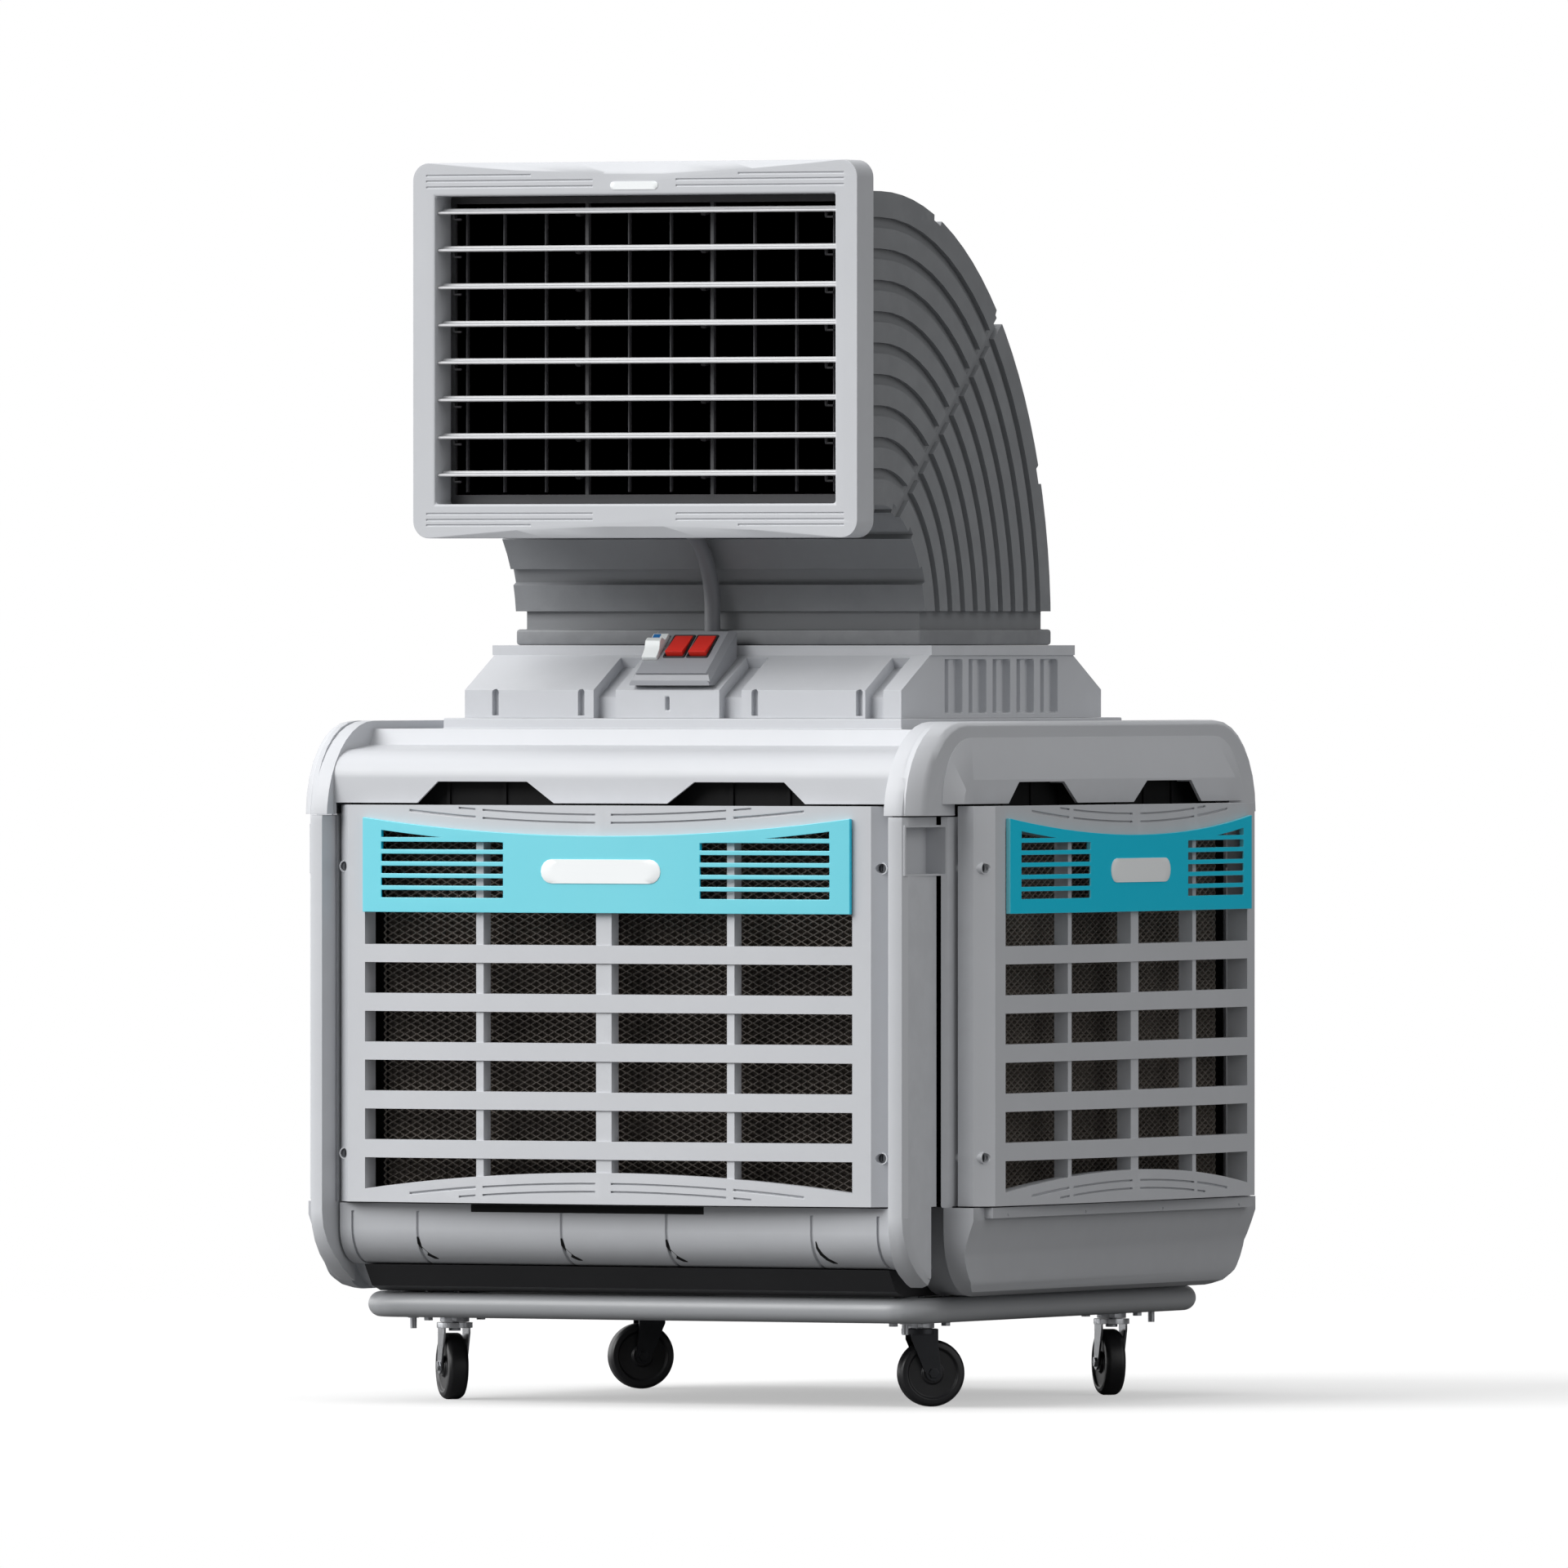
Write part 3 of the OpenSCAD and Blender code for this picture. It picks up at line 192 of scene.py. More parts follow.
def metal(name, rgb, rough=0.32, metallic=1.0, scratch=0.35, stretch=(1, 1, 1)):
    """Plated or painted steel: brushed unevenness in gloss and colour."""
    m, nt, b = new_material(name)
    base = lin(rgb)
    big = noise(nt, 9.0, 4.0, 0.6)
    col = ramp(nt, big, "Fac", [(0.30, [c * 0.86 for c in base]), (0.70, [min(1, c * 1.06) for c in base])])
    link(nt, col, "Color", b, "Base Color")
    fine = noise(nt, 260.0, 4.0, 0.7, stretch)
    mr = add(nt, "ShaderNodeMapRange")
    mr.inputs["To Min"].default_value = max(0.05, rough - 0.10)
    mr.inputs["To Max"].default_value = rough + 0.14
    link(nt, fine, "Fac", mr, "Value")
    link(nt, mr, "Result", b, "Roughness")
    bump = add(nt, "ShaderNodeBump")
    bump.inputs["Strength"].default_value = scratch * 0.25
    bump.inputs["Distance"].default_value = 0.0003
    link(nt, fine, "Fac", bump, "Height")
    link(nt, bump, "Normal", b, "Normal")
    b.inputs["Metallic"].default_value = metallic
    return m


def cellulose(name, rgb):
    """Resin-stiffened paper: fibres, damp darker patches, matt."""
    m, nt, b = new_material(name)
    base = lin(rgb)
    big = noise(nt, 7.0, 5.0, 0.6)
    fibre = noise(nt, 420.0, 5.0, 0.7, (1, 1, 3))
    col = ramp(nt, big, "Fac", [(0.30, [c * 0.78 for c in base]), (0.72, [c * 1.16 for c in base])])
    mix = add(nt, "ShaderNodeMix", data_type="RGBA", blend_type="MULTIPLY")
    mix.inputs[0].default_value = 0.5
    tone = ramp(nt, fibre, "Fac", [(0.35, (0.55, 0.53, 0.50)), (0.65, (1, 1, 1))])
    nt.links.new(col.outputs["Color"], mix.inputs[6])
    nt.links.new(tone.outputs["Color"], mix.inputs[7])
    nt.links.new(mix.outputs[2], b.inputs["Base Color"])
    b.inputs["Roughness"].default_value = 0.93
    bump = add(nt, "ShaderNodeBump")
    bump.inputs["Strength"].default_value = 0.5
    bump.inputs["Distance"].default_value = 0.0006
    link(nt, fibre, "Fac", bump, "Height")
    link(nt, bump, "Normal", b, "Normal")
    return m


MAT = {
    "cabinet_grey": moulded("cabinet_grey", (198, 200, 204), 0.42, 0.012, 0.07, spec=0.4, edge_wear_and_highlight=0.12),
    # duct: its paler rib crests are mostly a painted highlight
    "duct_grey": moulded("duct_grey", (134, 136, 139), 0.46, 0.02, 0.10, spec=0.4, edge_wear_and_highlight=0.35),
    "tank_grey": moulded("tank_grey", (184, 186, 190), 0.42, 0.012, 0.07, spec=0.4, edge_wear_and_highlight=0.12),
    "box_grey": moulded("box_grey", (150, 152, 157), 0.40, 0.02, 0.10),
    # fascia: the paler front blue is a painted reflection over the deeper blue given for its ends
    "fascia_blue": moulded("fascia_blue", (120, 214, 228), 0.34, 0.008, 0.03, coat=0.1, side=(2, 206, 238)),
    "zinc_steel": metal("zinc_steel", (196, 198, 202), 0.34, 1.0),
    "dark_steel": metal("dark_steel", (92, 94, 98), 0.42, 1.0),
    "black_plastic": moulded("black_plastic", (42, 42, 44), 0.48, 0.10, 0.12, spec=0.3),
    "black_paint": moulded("black_paint", (26, 26, 28), 0.40, 0.12, 0.06, spec=0.3),
    "pad_cellulose": cellulose("pad_cellulose", (160, 153, 146)),
    "blade_grey": moulded("blade_grey", (206, 207, 209), 0.36, 0.012, 0.05),
    "pump_plastic": moulded("pump_plastic", (52, 62, 74), 0.40, 0.08, 0.10),
    "pipe_plastic": moulded("pipe_plastic", (222, 224, 226), 0.35, 0.03, 0.05),
    "valve_brass": metal("valve_brass", (206, 168, 88), 0.28, 1.0),
    "rocker_red": moulded("rocker_red", (232, 48, 36), 0.30, 0.03, 0.05, coat=0.3),
    "switch_white": moulded("switch_white", (244, 248, 248), 0.32, 0.02, 0.05),
    "tab_blue": moulded("tab_blue", (40, 120, 190), 0.32, 0.02, 0.05),
    "tyre_black": moulded("tyre_black", (36, 36, 38), 0.38, 0.10, 0.20, 700.0),
    "frame_paint": moulded("frame_paint", (168, 170, 173), 0.36, 0.02, 0.05, edge_wear_and_highlight=0.2),
    "conduit_grey": moulded("conduit_grey", (118, 120, 124), 0.45, 0.04, 0.08),
    "badge_white": moulded("badge_white", (246, 249, 250), 0.30, 0.01, 0.03),
    "core_black": moulded("core_black", (20, 20, 21), 0.70, 0.10, 0.10, spec=0.2),
    "vane_black": moulded("vane_black", (74, 74, 76), 0.50, 0.06, 0.08, spec=0.3),
    # painted reflection: a darkened copy of the fork chrome, standing in for the dark surroundings two forks
    # reflect
    "fork_chrome_dark_reflection": metal("fork_chrome_dark_reflection", (70, 71, 74), 0.30, 1.0),
    "fork_chrome": metal("fork_chrome", (212, 214, 218), 0.20, 1.0),
}


# ---------------------------------------------------------------- mesh helpers
def new_piece(name, bm, mat, body, sharp=33.0, weighted=True):
    """A finished piece that rides on a body, shaded smooth up to the sharp angle."""
    me = bpy.data.meshes.new(name)
    bm.normal_update()
    for f in bm.faces:
        f.smooth = True
    limit = math.radians(sharp)
    for e in bm.edges:
        e.smooth = not (e.is_manifold and e.calc_face_angle(0.0) > limit)
    bm.to_mesh(me)
    bm.free()
    ob = bpy.data.objects.new(name, me)
    bpy.context.scene.collection.objects.link(ob)
    me.materials.append(MAT[mat])
    if weighted:
        w = ob.modifiers.new("weighted", "WEIGHTED_NORMAL")
        w.keep_sharp = True
        w.weight = 50
    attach(ob, body)
    return ob


def node_bmesh(node, flat=0.4):
    """The CAD node's surface as clean faces: seams welded, coplanar triangles joined."""
    bm = bmesh.new()
    bm.from_mesh(N[node].data)
    bmesh.ops.remove_doubles(bm, verts=bm.verts, dist=4e-6)
    bmesh.ops.dissolve_limit(bm, angle_limit=math.radians(flat), use_dissolve_boundaries=False,
                             verts=bm.verts, edges=bm.edges, delimit={"MATERIAL"})
    bmesh.ops.recalc_face_normals(bm, faces=bm.faces)
    return bm


def edge_groups(bm, pick):
    """Connected groups of the picked edges, so that a small feature doesn't limit a large one.

    They are numbered in the mesh's own edge order, so that every run rounds them in the same order.
    """
    layer = bm.edges.layers.int.new("group")
    todo = {e for e in bm.edges if pick(e)}
    count = 0
    for first in bm.edges:
        if first not in todo:
            continue
        count += 1
        todo.discard(first)
        stack = [first]
        while stack:
            e = stack.pop()
            e[layer] = count
            for v in e.verts:
                for o in v.link_edges:
                    if o in todo:
                        todo.discard(o)
                        stack.append(o)
    return layer, count


def round_edges(bm, width, angle=28.0, segments=2):
    """Rounds every edge that turns more than the angle, as far as its neighbours leave room."""
    limit = math.radians(angle)
    layer, count = edge_groups(bm, lambda e: e.is_manifold and e.calc_face_angle(0.0) >= limit)
    for i in range(1, count + 1):
        group = [e for e in bm.edges if e[layer] == i]
        if not group:
            continue
        bmesh.ops.bevel(bm, geom=group, offset=width, offset_type="OFFSET", segments=segments,
                        profile=0.5, affect="EDGES", clamp_overlap=True, harden_normals=False)
    bm.edges.layers.int.remove(layer)


def refine(node, mat, width):
    """A skin for one CAD node: same surface, softened edges (width in mm), its own material."""
    bm = node_bmesh(node)
    if width:
        round_edges(bm, width * MM)
    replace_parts(new_piece(node + ".skin", bm, mat, N[node]["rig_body"]), node)


SKINS = {
    "tube_frame": ("frame_paint", 0.8, "cabinet_grey"),
    "frame_bolts": ("zinc_steel", 0.4, "zinc_steel"),
    "caster_plates": ("zinc_steel", 0.6, "zinc_steel"),
    # the undertray is black: partly its own colour, partly painted shade for the dark space under the tank's
    # front roll
    "base_pan": ("black_plastic", 1.5, "black_plastic"),
    "water_tank": ("tank_grey", 2.5, "cabinet_grey"),
    "drain_plug": ("black_plastic", 0.6, "black_plastic"),
    "corner_posts": ("cabinet_grey", 5.0, "cabinet_grey"),
    "top_cover": ("cabinet_grey", 2.0, "cabinet_grey"),
    "front_grille": ("cabinet_grey", 2.0, "cabinet_grey"),
    "rear_grille": ("cabinet_grey", 2.0, "cabinet_grey"),
    "left_grille": ("cabinet_grey", 2.0, "cabinet_grey"),
    "right_grille": ("cabinet_grey", 2.0, "cabinet_grey"),
    "fascia_panels": ("fascia_blue", 1.2, "fascia_blue"),
    "grille_screws": ("dark_steel", 0.3, "zinc_steel"),
    "hood_cap": ("cabinet_grey", 2.5, "cabinet_grey"),
    "duct_lower": ("duct_grey", 4.5, "duct_grey"),
    "duct_upper": ("duct_grey", 4.5, "duct_grey"),
    "head_frame": ("cabinet_grey", 5.0, "cabinet_grey"),
    "head_sleeve": ("vane_black", 0.6, "black_plastic"),
    "control_box": ("box_grey", 1.2, "box_grey"),
    "conduit": ("conduit_grey", 0.5, "black_plastic"),
    "fan_ring": ("black_plastic", 0.6, "black_plastic"),
    "motor_bracket": ("zinc_steel", 0.6, "zinc_steel"),
    "fan_motor": ("dark_steel", 0.6, "dark_steel"),
    "fan_rotor": ("black_plastic", 0.6, "black_plastic"),
    "water_pump": ("pump_plastic", 1.0, "pump_plastic"),
    "water_pipes": ("pipe_plastic", 0.0, "pipe_plastic"),
    "float_valve": ("valve_brass", 0.4, "valve_brass"),
    "float_arm": ("pipe_plastic", 0.4, "pipe_plastic"),
    "swing_motor": ("zinc_steel", 0.5, "zinc_steel"),
    "blade_link": ("black_plastic", 0.3, "black_plastic"),
    "vane_link": ("black_plastic", 0.3, "black_plastic"),
    "rocker_1": ("rocker_red", 1.2, "rocker_red"),
    "rocker_2": ("rocker_red", 1.2, "rocker_red"),
    "main_switch": ("switch_white", 1.2, "switch_white"),
}
for i in range(1, 9):
    SKINS["louvre_blade_%d" % i] = ("blade_grey", 0.0, "blade_grey")
    SKINS["vane_%d" % i] = ("vane_black", 0.0, "black_plastic")
for i in range(1, 5):
    # forks 2 and 4 get the darkened chrome copy, a painted dark reflection
    SKINS["caster_fork_%d" % i] = ("fork_chrome" if i % 2 else "fork_chrome_dark_reflection", 0.6, "zinc_steel")
    SKINS["caster_wheel_%d" % i] = ("tyre_black", 1.2, "tyre_black")

for node, (mat, width, slot_name) in SKINS.items():
    refine(node, mat, width)


def box_into(bm, lo, hi, m=None, edge=0.0):
    """A box with softened edges, added to bm and carried by the matrix m."""
    made = bmesh.ops.create_cube(bm, size=1.0)["verts"]
    for v in made:
        v.co = Vector([(lo[k] + hi[k]) / 2 + v.co[k] * (hi[k] - lo[k]) for k in range(3)])
    if edge:
        es = list({e for v in made for e in v.link_edges})
        got = bmesh.ops.bevel(bm, geom=es, offset=edge, segments=2, profile=0.5,
                              affect="EDGES", clamp_overlap=True)
        made = list({v for f in got["faces"] for v in f.verts} | {v for v in made if v.is_valid})
    if m is not None:
        bmesh.ops.transform(bm, matrix=m, verts=made)


# ---------------------------------------------------------------- cooling pads
def pad_piece(name, yaw):
    """One pad: a core with a face of zigzag paper flutes standing on edge."""
    lo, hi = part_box("cooling_pads")
    z0, z1 = lo.z + 0.002, hi.z - 0.002
    front = -max(abs(lo.y), abs(hi.y))
    half = 0.403
    cell = 0.010
    depth = 0.014
    edge = 0.0011
    bm = bmesh.new()
    y0 = front + 0.0005
    y1 = y0 + depth
    sheets = int(2 * half / cell)
    rows = int((z1 - z0) / (cell / 2))
    step = (z1 - z0) / rows
    for s in range(sheets + 1):
        x = -half + 2 * half * s / sheets
        prev = None
        for r in range(rows + 1):
            side = 1 if (r + s) % 2 else -1
            px = x + side * cell * 0.42
            px = max(-half, min(half, px))
            z = z0 + r * step
            quad = [bm.verts.new((px - edge / 2, y0, z)), bm.verts.new((px + edge / 2, y0, z)),
                    bm.verts.new((px + edge / 2, y1, z)), bm.verts.new((px - edge / 2, y1, z))]
            if prev:
                bm.faces.new((prev[0], prev[1], quad[1], quad[0]))
                bm.faces.new((prev[1], prev[2], quad[2], quad[1]))
                bm.faces.new((prev[3], prev[0], quad[0], quad[3]))
            prev = quad
    core = bmesh.ops.create_cube(bm, size=1.0)["verts"]
    for v in core:
        v.co.x *= 2 * half
        v.co.y = y1 if v.co.y < 0 else y1 + 0.08
        v.co.z = z0 if v.co.z < 0 else z1
    bmesh.ops.rotate(bm, verts=bm.verts, cent=(0, 0, 0), matrix=Matrix.Rotation(math.radians(yaw), 3, "Z"))
    return new_piece(name, bm, "pad_cellulose", "root", weighted=False)


pads = [pad_piece("pad_%s" % side, yaw) for side, yaw in SIDES]
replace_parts(pads[0], "cooling_pads")


def pad_channels():
    """Dark upright channels that close the gap between each pad's edge and the corner posts."""
    lo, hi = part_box("cooling_pads")
    front = max(abs(lo.y), abs(hi.y))
    near, far = 0.399, 0.4412
    wall, deep = 0.003, 0.054
    y = 0.006 - front
    z0, z1 = lo.z + 0.002, hi.z + 0.006
    bm = bmesh.new()
    for _, yaw in SIDES:
        m = Matrix.Rotation(math.radians(yaw), 4, "Z")
        for s in (-1, 1):
            a, b = sorted((s * near, s * far))
            box_into(bm, (a, y, z0), (b, y + wall, z1), m, 0.0008)
            a, b = sorted((s * (far - wall), s * far))
            box_into(bm, (a, y, z0), (b, y + deep, z1), m, 0.0008)
    return new_piece("pad_channels", bm, "core_black", "root")


pad_channels()


# ---------------------------------------------------------------- detail pieces
def ring_into(bm, outer, inner, d0, d1, m):
    """A frame between two rounded rectangles (half width, half height, corner), from depth d0 to d1."""
    def loop(spec, d):
        w, h, r = spec
        pts = []
        corners = ((w - r, h - r, 0), (-w + r, h - r, 90), (-w + r, -h + r, 180), (w - r, -h + r, 270))
        for cx, cy, start in corners:
            for k in range(5):
                a = math.radians(start + k * 22.5)
                pts.append(bm.verts.new(m @ Vector((cx + r * math.cos(a), cy + r * math.sin(a), d))))
        return pts

    soft = min(0.0008, (d1 - d0) * 0.4)
    slim = tuple(v - soft for v in outer[:2]) + (max(outer[2] - soft, 0.0002),)
    wide = tuple(v + soft for v in inner[:2]) + (inner[2] + soft,)
    loops = [loop(outer, d0), loop(outer, d1 - soft), loop(slim, d1),
             loop(wide, d1), loop(inner, d1 - soft), loop(inner, d0)]
    for a, b in zip(loops, loops[1:] + loops[:1]):
        for k in range(len(a)):
            j = (k + 1) % len(a)
            bm.faces.new((a[k], a[j], b[j], b[k]))


def tree_of(node):
    """A CAD node's surface, ready for rays to be cast at it."""
    bm = bmesh.new()
    bm.from_mesh(N[node].data)
    tree = BVHTree.FromBMesh(bm)
    bm.free()
    return tree


def plate(name, node, outline, yaw, mat, lift=0.0012):
    """A thin plate on a node's surface: outline is (u, z) seen from outside, turned to the given side."""
    tree = tree_of(node)
    turn = Matrix.Rotation(math.radians(yaw), 3, "Z")
    cu = sum(p[0] for p in outline) / len(outline)
    cz = sum(p[1] for p in outline) / len(outline)

    def at(u, z, up):
        start = turn @ Vector((u, -OUTSIDE, z))
        hit = tree.ray_cast(start, turn @ Vector((0, 1, 0)), OUTSIDE)[0]
        return hit + (turn @ Vector((0, -up, 0)))

    bm = bmesh.new()
    rings = [(1.0, -0.0012), (1.0, lift * 0.6), (0.985, lift)] + [(k, lift) for k in (0.8, 0.6, 0.4, 0.2)]
    loops = [[bm.verts.new(at(cu + (u - cu) * k, cz + (z - cz) * k, up)) for u, z in outline]
             for k, up in rings]
    for a, b in zip(loops, loops[1:]):
        for i in range(len(a)):
            j = (i + 1) % len(a)
            bm.faces.new((a[i], a[j], b[j], b[i]))
    mid = bm.verts.new(at(cu, cz, lift))
    last = loops[-1]
    for i in range(len(last)):
        bm.faces.new((last[i], last[(i + 1) % len(last)], mid))
    bm.faces.new(list(reversed(loops[0])))
    bmesh.ops.recalc_face_normals(bm, faces=bm.faces)
    return new_piece(name, bm, mat, N[node]["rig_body"], weighted=False)


def pill(u, z, w, h):
    """A stadium outline, w wide and h high, round (u, z)."""
    r = h / 2
    pts = []
    for side, start in ((1, -90), (-1, 90)):
        cx = u + side * (w / 2 - r)
        for k in range(9):
            a = math.radians(start + k * 22.5)
            pts.append((cx + r * math.cos(a), z + r * math.sin(a)))
        for k in range(1, 6):
            pts.append((cx - side * (w - h) * k / 6, z + side * r))
    return pts


for side, yaw in SIDES:
    plate("badge_%s" % side, "fascia_panels", pill(0, 0.797, 0.200, 0.036), yaw, "badge_white")


def panel_matrix(switch):
    """Face of the control box at a switch: x to the right, y up the slope, z out of the panel."""
    foot = Vector((0, -0.342, 1.087))
    head = Vector((0, -0.262, 1.154))
    up = (head - foot).normalized()
    out = Vector((1, 0, 0)).cross(up)
    lo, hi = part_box(switch)
    mid = (lo + hi) / 2
    centre = foot + up * (mid - foot).dot(up)
    centre.x = mid.x
    return Matrix(((1, up.x, out.x, centre.x), (0, up.y, out.y, centre.y),
                   (0, up.z, out.z, centre.z), (0, 0, 0, 1)))


def bezels():
    """Black frames round the two rockers."""
    bm = bmesh.new()
    w, h = 0.0155, 0.0235
    outer = (w + 0.0030, h + 0.0030, 0.003)
    inner = (w - 0.0006, h - 0.0006, 0.001)
    for switch in ("rocker_1", "rocker_2"):
        ring_into(bm, outer, inner, -0.0010, 0.0016, panel_matrix(switch))
    bmesh.ops.recalc_face_normals(bm, faces=bm.faces)
    return new_piece("switch_bezels", bm, "black_plastic", "root")


bezels()


def switch_tab():
    """Blue marker at the top of the white breaker's lever."""
    bm = bmesh.new()
    box_into(bm, (-0.0108, 0.0105, 0.0050), (0.0010, 0.0245, 0.0068), panel_matrix("main_switch"), 0.0006)
    return new_piece("switch_tab", bm, "tab_blue", "main_switch")


switch_tab()
STRIP = [(-0.240, 0.288), (-0.05, 0.288), (0.150, 0.288), (0.150, 0.2995), (-0.05, 0.2995), (-0.240, 0.2995)]
plate("front_strip", "water_tank", STRIP, 0, "core_black", 0.0008)


def liner():
    """Ribbed dark panels behind the cover's vents, one for each side."""
    bm = bmesh.new()
    for _, yaw in SIDES:
        depth, half = (0.540, 0.452) if yaw % 180 == 0 else (0.5085, 0.440)
        m = Matrix.Rotation(math.radians(yaw), 4, "Z")
        box_into(bm, (-half, -depth, 0.884), (half, -depth + 0.003, 0.956), m, 0.0008)
        for k in range(-4, 5):
            x = k * 0.095
            box_into(bm, (x - 0.003, -depth - 0.0035, 0.886), (x + 0.003, -depth + 0.001, 0.954), m, 0.0008)
    return new_piece("vent_baffles", bm, "core_black", "root")


liner()


def seam_hooks():
    """Dark J-shaped marks that end the seams of the tank's front and rear: painted shade standing in for
    grooves there.
    """
    tree = tree_of("water_tank")
    bm = bmesh.new()
    for yaw in (0, 180):
        turn = Matrix.Rotation(math.radians(yaw), 3, "Z")
        for u in (-0.334, -0.092, 0.084, 0.334):
            path = [(u + 0.002, 0.250), (u + 0.003, 0.240), (u + 0.007, 0.231),
                    (u + 0.013, 0.224), (u + 0.021, 0.219), (u + 0.027, 0.217)]
            wide = [0.0008, 0.0026, 0.0034, 0.0034, 0.0028, 0.0008]
            rows = []
            for k, (pu, pz) in enumerate(path):
                qa, qb = path[max(k - 1, 0)], path[min(k + 1, len(path) - 1)]
                along = Vector((qb[0] - qa[0], qb[1] - qa[1])).normalized()
                side = Vector((-along.y, along.x)) * wide[k]
                row = []
                for f, up in ((-1, -0.001), (-0.8, 0.0005), (0.8, 0.0005), (1, -0.001)):
                    start = turn @ Vector((pu + side.x * f, -OUTSIDE, pz + side.y * f))
                    hit = tree.ray_cast(start, turn @ Vector((0, 1, 0)), OUTSIDE)[0]
                    row.append(bm.verts.new(hit + turn @ Vector((0, -up, 0))))
                rows.append(row)
            for a, b in zip(rows, rows[1:]):
                for i in range(4):
                    j = (i + 1) % 4
                    bm.faces.new((a[i], a[j], b[j], b[i]))
            bm.faces.new(rows[0])
            bm.faces.new(list(reversed(rows[-1])))
    bmesh.ops.recalc_face_normals(bm, faces=bm.faces)
    return new_piece("seam_groove_shade", bm, "core_black", "root", weighted=False)


seam_hooks()
plate("badge_head", "head_frame", pill(0, 1.818, 0.080, 0.012), 0, "badge_white", 0.0008)


def blade_clips(i):
    """Small hooks under one blade, where it rests on its stays and turns at its ends."""
    lo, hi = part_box("louvre_blade_%d" % i)
    y, z = -0.464, (lo.z + hi.z) / 2
    bm = bmesh.new()
    tilt = Matrix.Translation((0, y, z)) @ Matrix.Rotation(math.radians(9), 4, "X")
    for x in (-0.105, 0.105):
        box_into(bm, (x - 0.0035, -0.006, -0.0085), (x + 0.0035, 0.012, 0.0004), tilt, 0.0010)
        box_into(bm, (x - 0.0095, 0.002, -0.0085), (x + 0.0035, 0.006, -0.0055), tilt, 0.0010)
    for x in (-0.312, 0.312):
        box_into(bm, (x - 0.0020, -0.012, -0.0125), (x + 0.0020, -0.007, 0.0004), tilt, 0.0008)
        box_into(bm, (x - 0.0020, -0.012, -0.0125), (x + 0.0120, -0.008, -0.0095), tilt, 0.0008)
    return new_piece("blade_clips_%d" % i, bm, "black_plastic", "louvre_blade_%d" % i)


for i in range(1, 9):
    blade_clips(i)


# ---------------------------------------------------------------- floor, lights, camera
def floor_piece():
    """A pale disc that fades out into the white round it."""
    bm = bmesh.new()
    bmesh.ops.create_circle(bm, cap_ends=True, radius=9.0, segments=96)
    me = bpy.data.meshes.new("floor")
    bm.to_mesh(me)
    bm.free()
    ob = bpy.data.objects.new("floor", me)
    bpy.context.scene.collection.objects.link(ob)
    m, nt, b = new_material("floor_pale")
    shade = add(nt, "ShaderNodeLightPath")
    tone = ramp(nt, shade, "Is Camera Ray", [(0.0, (0.16, 0.16, 0.16)), (1.0, (0.90, 0.90, 0.90))])
    link(nt, tone, "Color", b, "Base Color")
    b.inputs["Roughness"].default_value = 0.9
    b.inputs["Specular IOR Level"].default_value = 0.1
    out = nt.nodes["Material Output"]
    clear = add(nt, "ShaderNodeBsdfTransparent")
    mix = add(nt, "ShaderNodeMixShader")
    geo = add(nt, "ShaderNodeNewGeometry")
    length = add(nt, "ShaderNodeVectorMath", operation="LENGTH")
    link(nt, geo, "Position", length, 0)
    fade = add(nt, "ShaderNodeMapRange")
    fade.inputs["From Min"].default_value = 1.4
    fade.inputs["From Max"].default_value = 6.0
    nt.links.new(length.outputs["Value"], fade.inputs["Value"])
    fade.inputs["To Min"].default_value = 0.45
    path = add(nt, "ShaderNodeLightPath")
    seen = add(nt, "ShaderNodeMath", operation="MULTIPLY")
    link(nt, fade, "Result", seen, 0)
    link(nt, path, "Is Camera Ray", seen, 1)
    link(nt, seen, 0, mix, 0)
    nt.links.new(b.outputs[0], mix.inputs[1])
    nt.links.new(clear.outputs[0], mix.inputs[2])
    nt.links.new(mix.outputs[0], out.inputs["Surface"])
    me.materials.append(m)
    return ob


floor_piece()

WORLD_LIGHT = 0.36


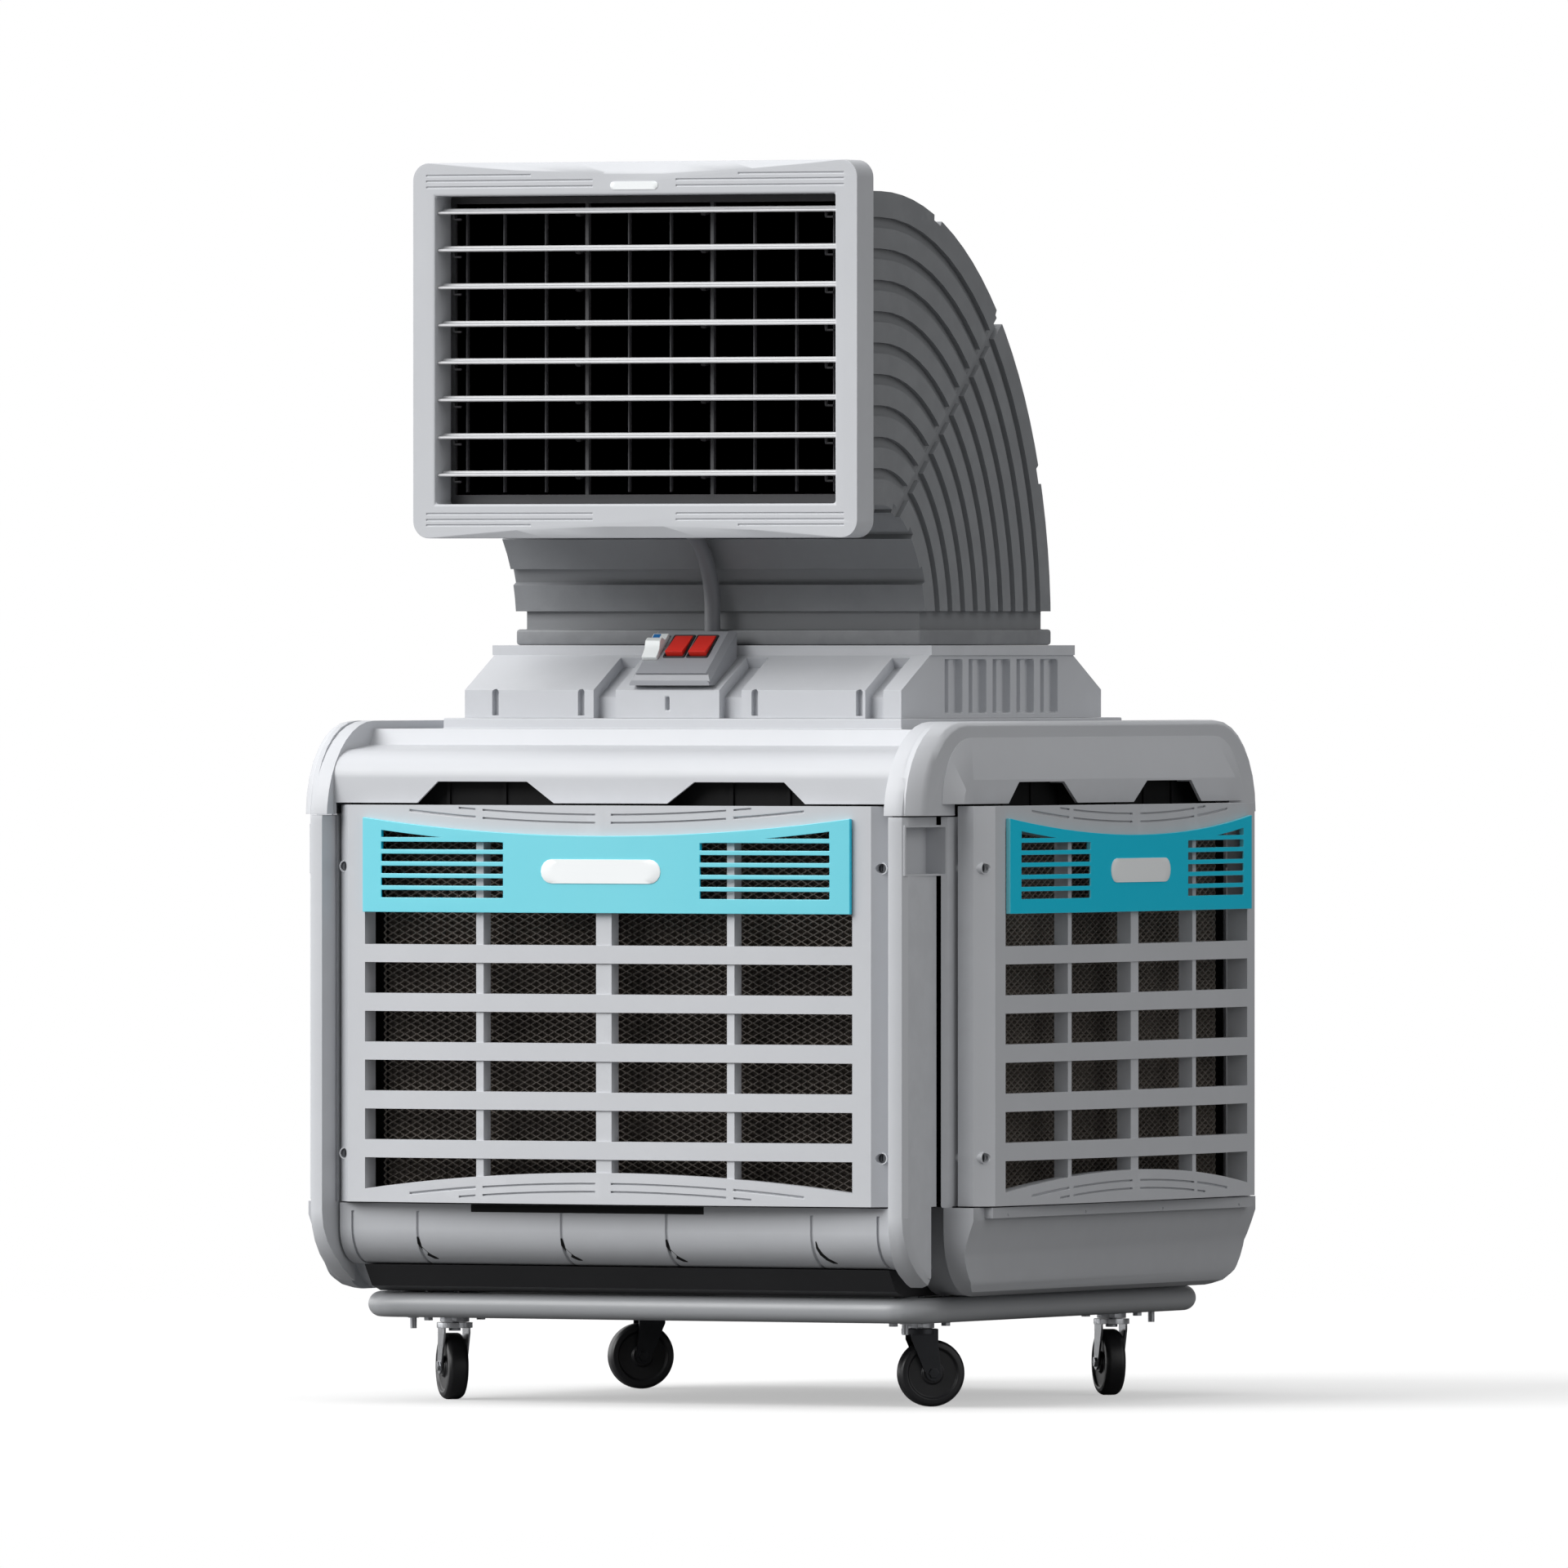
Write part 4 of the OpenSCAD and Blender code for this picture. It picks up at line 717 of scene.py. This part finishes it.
def world():
    """White to the camera, a soft grey dome to everything else, dark on the right for polished metal."""
    w = bpy.data.worlds.new("studio")
    bpy.context.scene.world = w
    w.use_nodes = True
    nt = w.node_tree
    nt.nodes.clear()
    out = nt.nodes.new("ShaderNodeOutputWorld")
    seen = nt.nodes.new("ShaderNodeBackground")
    seen.inputs[0].default_value = (1, 1, 1, 1)
    seen.inputs[1].default_value = 1.0
    lit = nt.nodes.new("ShaderNodeBackground")
    lit.inputs[1].default_value = WORLD_LIGHT
    tc = nt.nodes.new("ShaderNodeTexCoord")
    sep = nt.nodes.new("ShaderNodeSeparateXYZ")
    nt.links.new(tc.outputs["Generated"], sep.inputs[0])
    mr = nt.nodes.new("ShaderNodeMapRange")
    mr.inputs["From Min"].default_value = -0.2
    mr.inputs["From Max"].default_value = 0.9
    mr.inputs["To Min"].default_value = 0.25
    mr.inputs["To Max"].default_value = 1.0
    nt.links.new(sep.outputs["Z"], mr.inputs["Value"])
    grey = nt.nodes.new("ShaderNodeCombineColor")
    for i in range(3):
        nt.links.new(mr.outputs["Result"], grey.inputs[i])
    nt.links.new(grey.outputs[0], lit.inputs[0])
    path = nt.nodes.new("ShaderNodeLightPath")
    side = nt.nodes.new("ShaderNodeMapRange")
    side.inputs["From Min"].default_value = 0.05
    side.inputs["From Max"].default_value = -0.75
    side.inputs["To Min"].default_value = 0.03
    side.inputs["To Max"].default_value = 1.3
    nt.links.new(sep.outputs["X"], side.inputs["Value"])
    gloss = nt.nodes.new("ShaderNodeBackground")
    nt.links.new(side.outputs["Result"], gloss.inputs[1])
    shiny = nt.nodes.new("ShaderNodeMixShader")
    nt.links.new(path.outputs["Is Glossy Ray"], shiny.inputs[0])
    nt.links.new(lit.outputs[0], shiny.inputs[1])
    nt.links.new(gloss.outputs[0], shiny.inputs[2])
    mix = nt.nodes.new("ShaderNodeMixShader")
    nt.links.new(path.outputs["Is Camera Ray"], mix.inputs[0])
    nt.links.new(shiny.outputs[0], mix.inputs[1])
    nt.links.new(seen.outputs[0], mix.inputs[2])
    nt.links.new(mix.outputs[0], out.inputs["Surface"])


def sun(name, direction, strength, angle):
    """A broad soft light shining from the given direction."""
    d = bpy.data.lights.new(name, "SUN")
    d.energy = strength
    d.angle = math.radians(angle)
    ob = bpy.data.objects.new(name, d)
    bpy.context.scene.collection.objects.link(ob)
    ob.rotation_mode = "QUATERNION"
    ob.rotation_quaternion = Vector(direction).to_track_quat("Z", "Y")
    return ob


world()
sun("key", (-0.52, -0.80, 0.60), 2.62, 40)
sun("top", (-0.15, -0.10, 1.0), 1.25, 60)
sun("right_fill", (0.95, -0.10, 0.34), 0.68, 60)
sun("left_fill", (-0.95, -0.10, 0.20), 1.10, 60)

cam_data = bpy.data.cameras.new("camera")
cam_data.lens = 600
cam_data.sensor_width = 36
cam_data.clip_start = 1.0
cam_data.clip_end = 120
cam = bpy.data.objects.new("camera", cam_data)
bpy.context.scene.collection.objects.link(cam)
YAW = math.radians(27.05)
DISTANCE = 39.36
cam.location = (DISTANCE * math.sin(YAW), -DISTANCE * math.cos(YAW), 1.157)
aim = Vector((0, 0, 0.924)) - cam.location
cam.rotation_mode = "QUATERNION"
cam.rotation_quaternion = aim.to_track_quat("-Z", "Y")
bpy.context.scene.camera = cam
bpy.context.scene.view_settings.view_transform = "Standard"

bpy.context.view_layer.update()
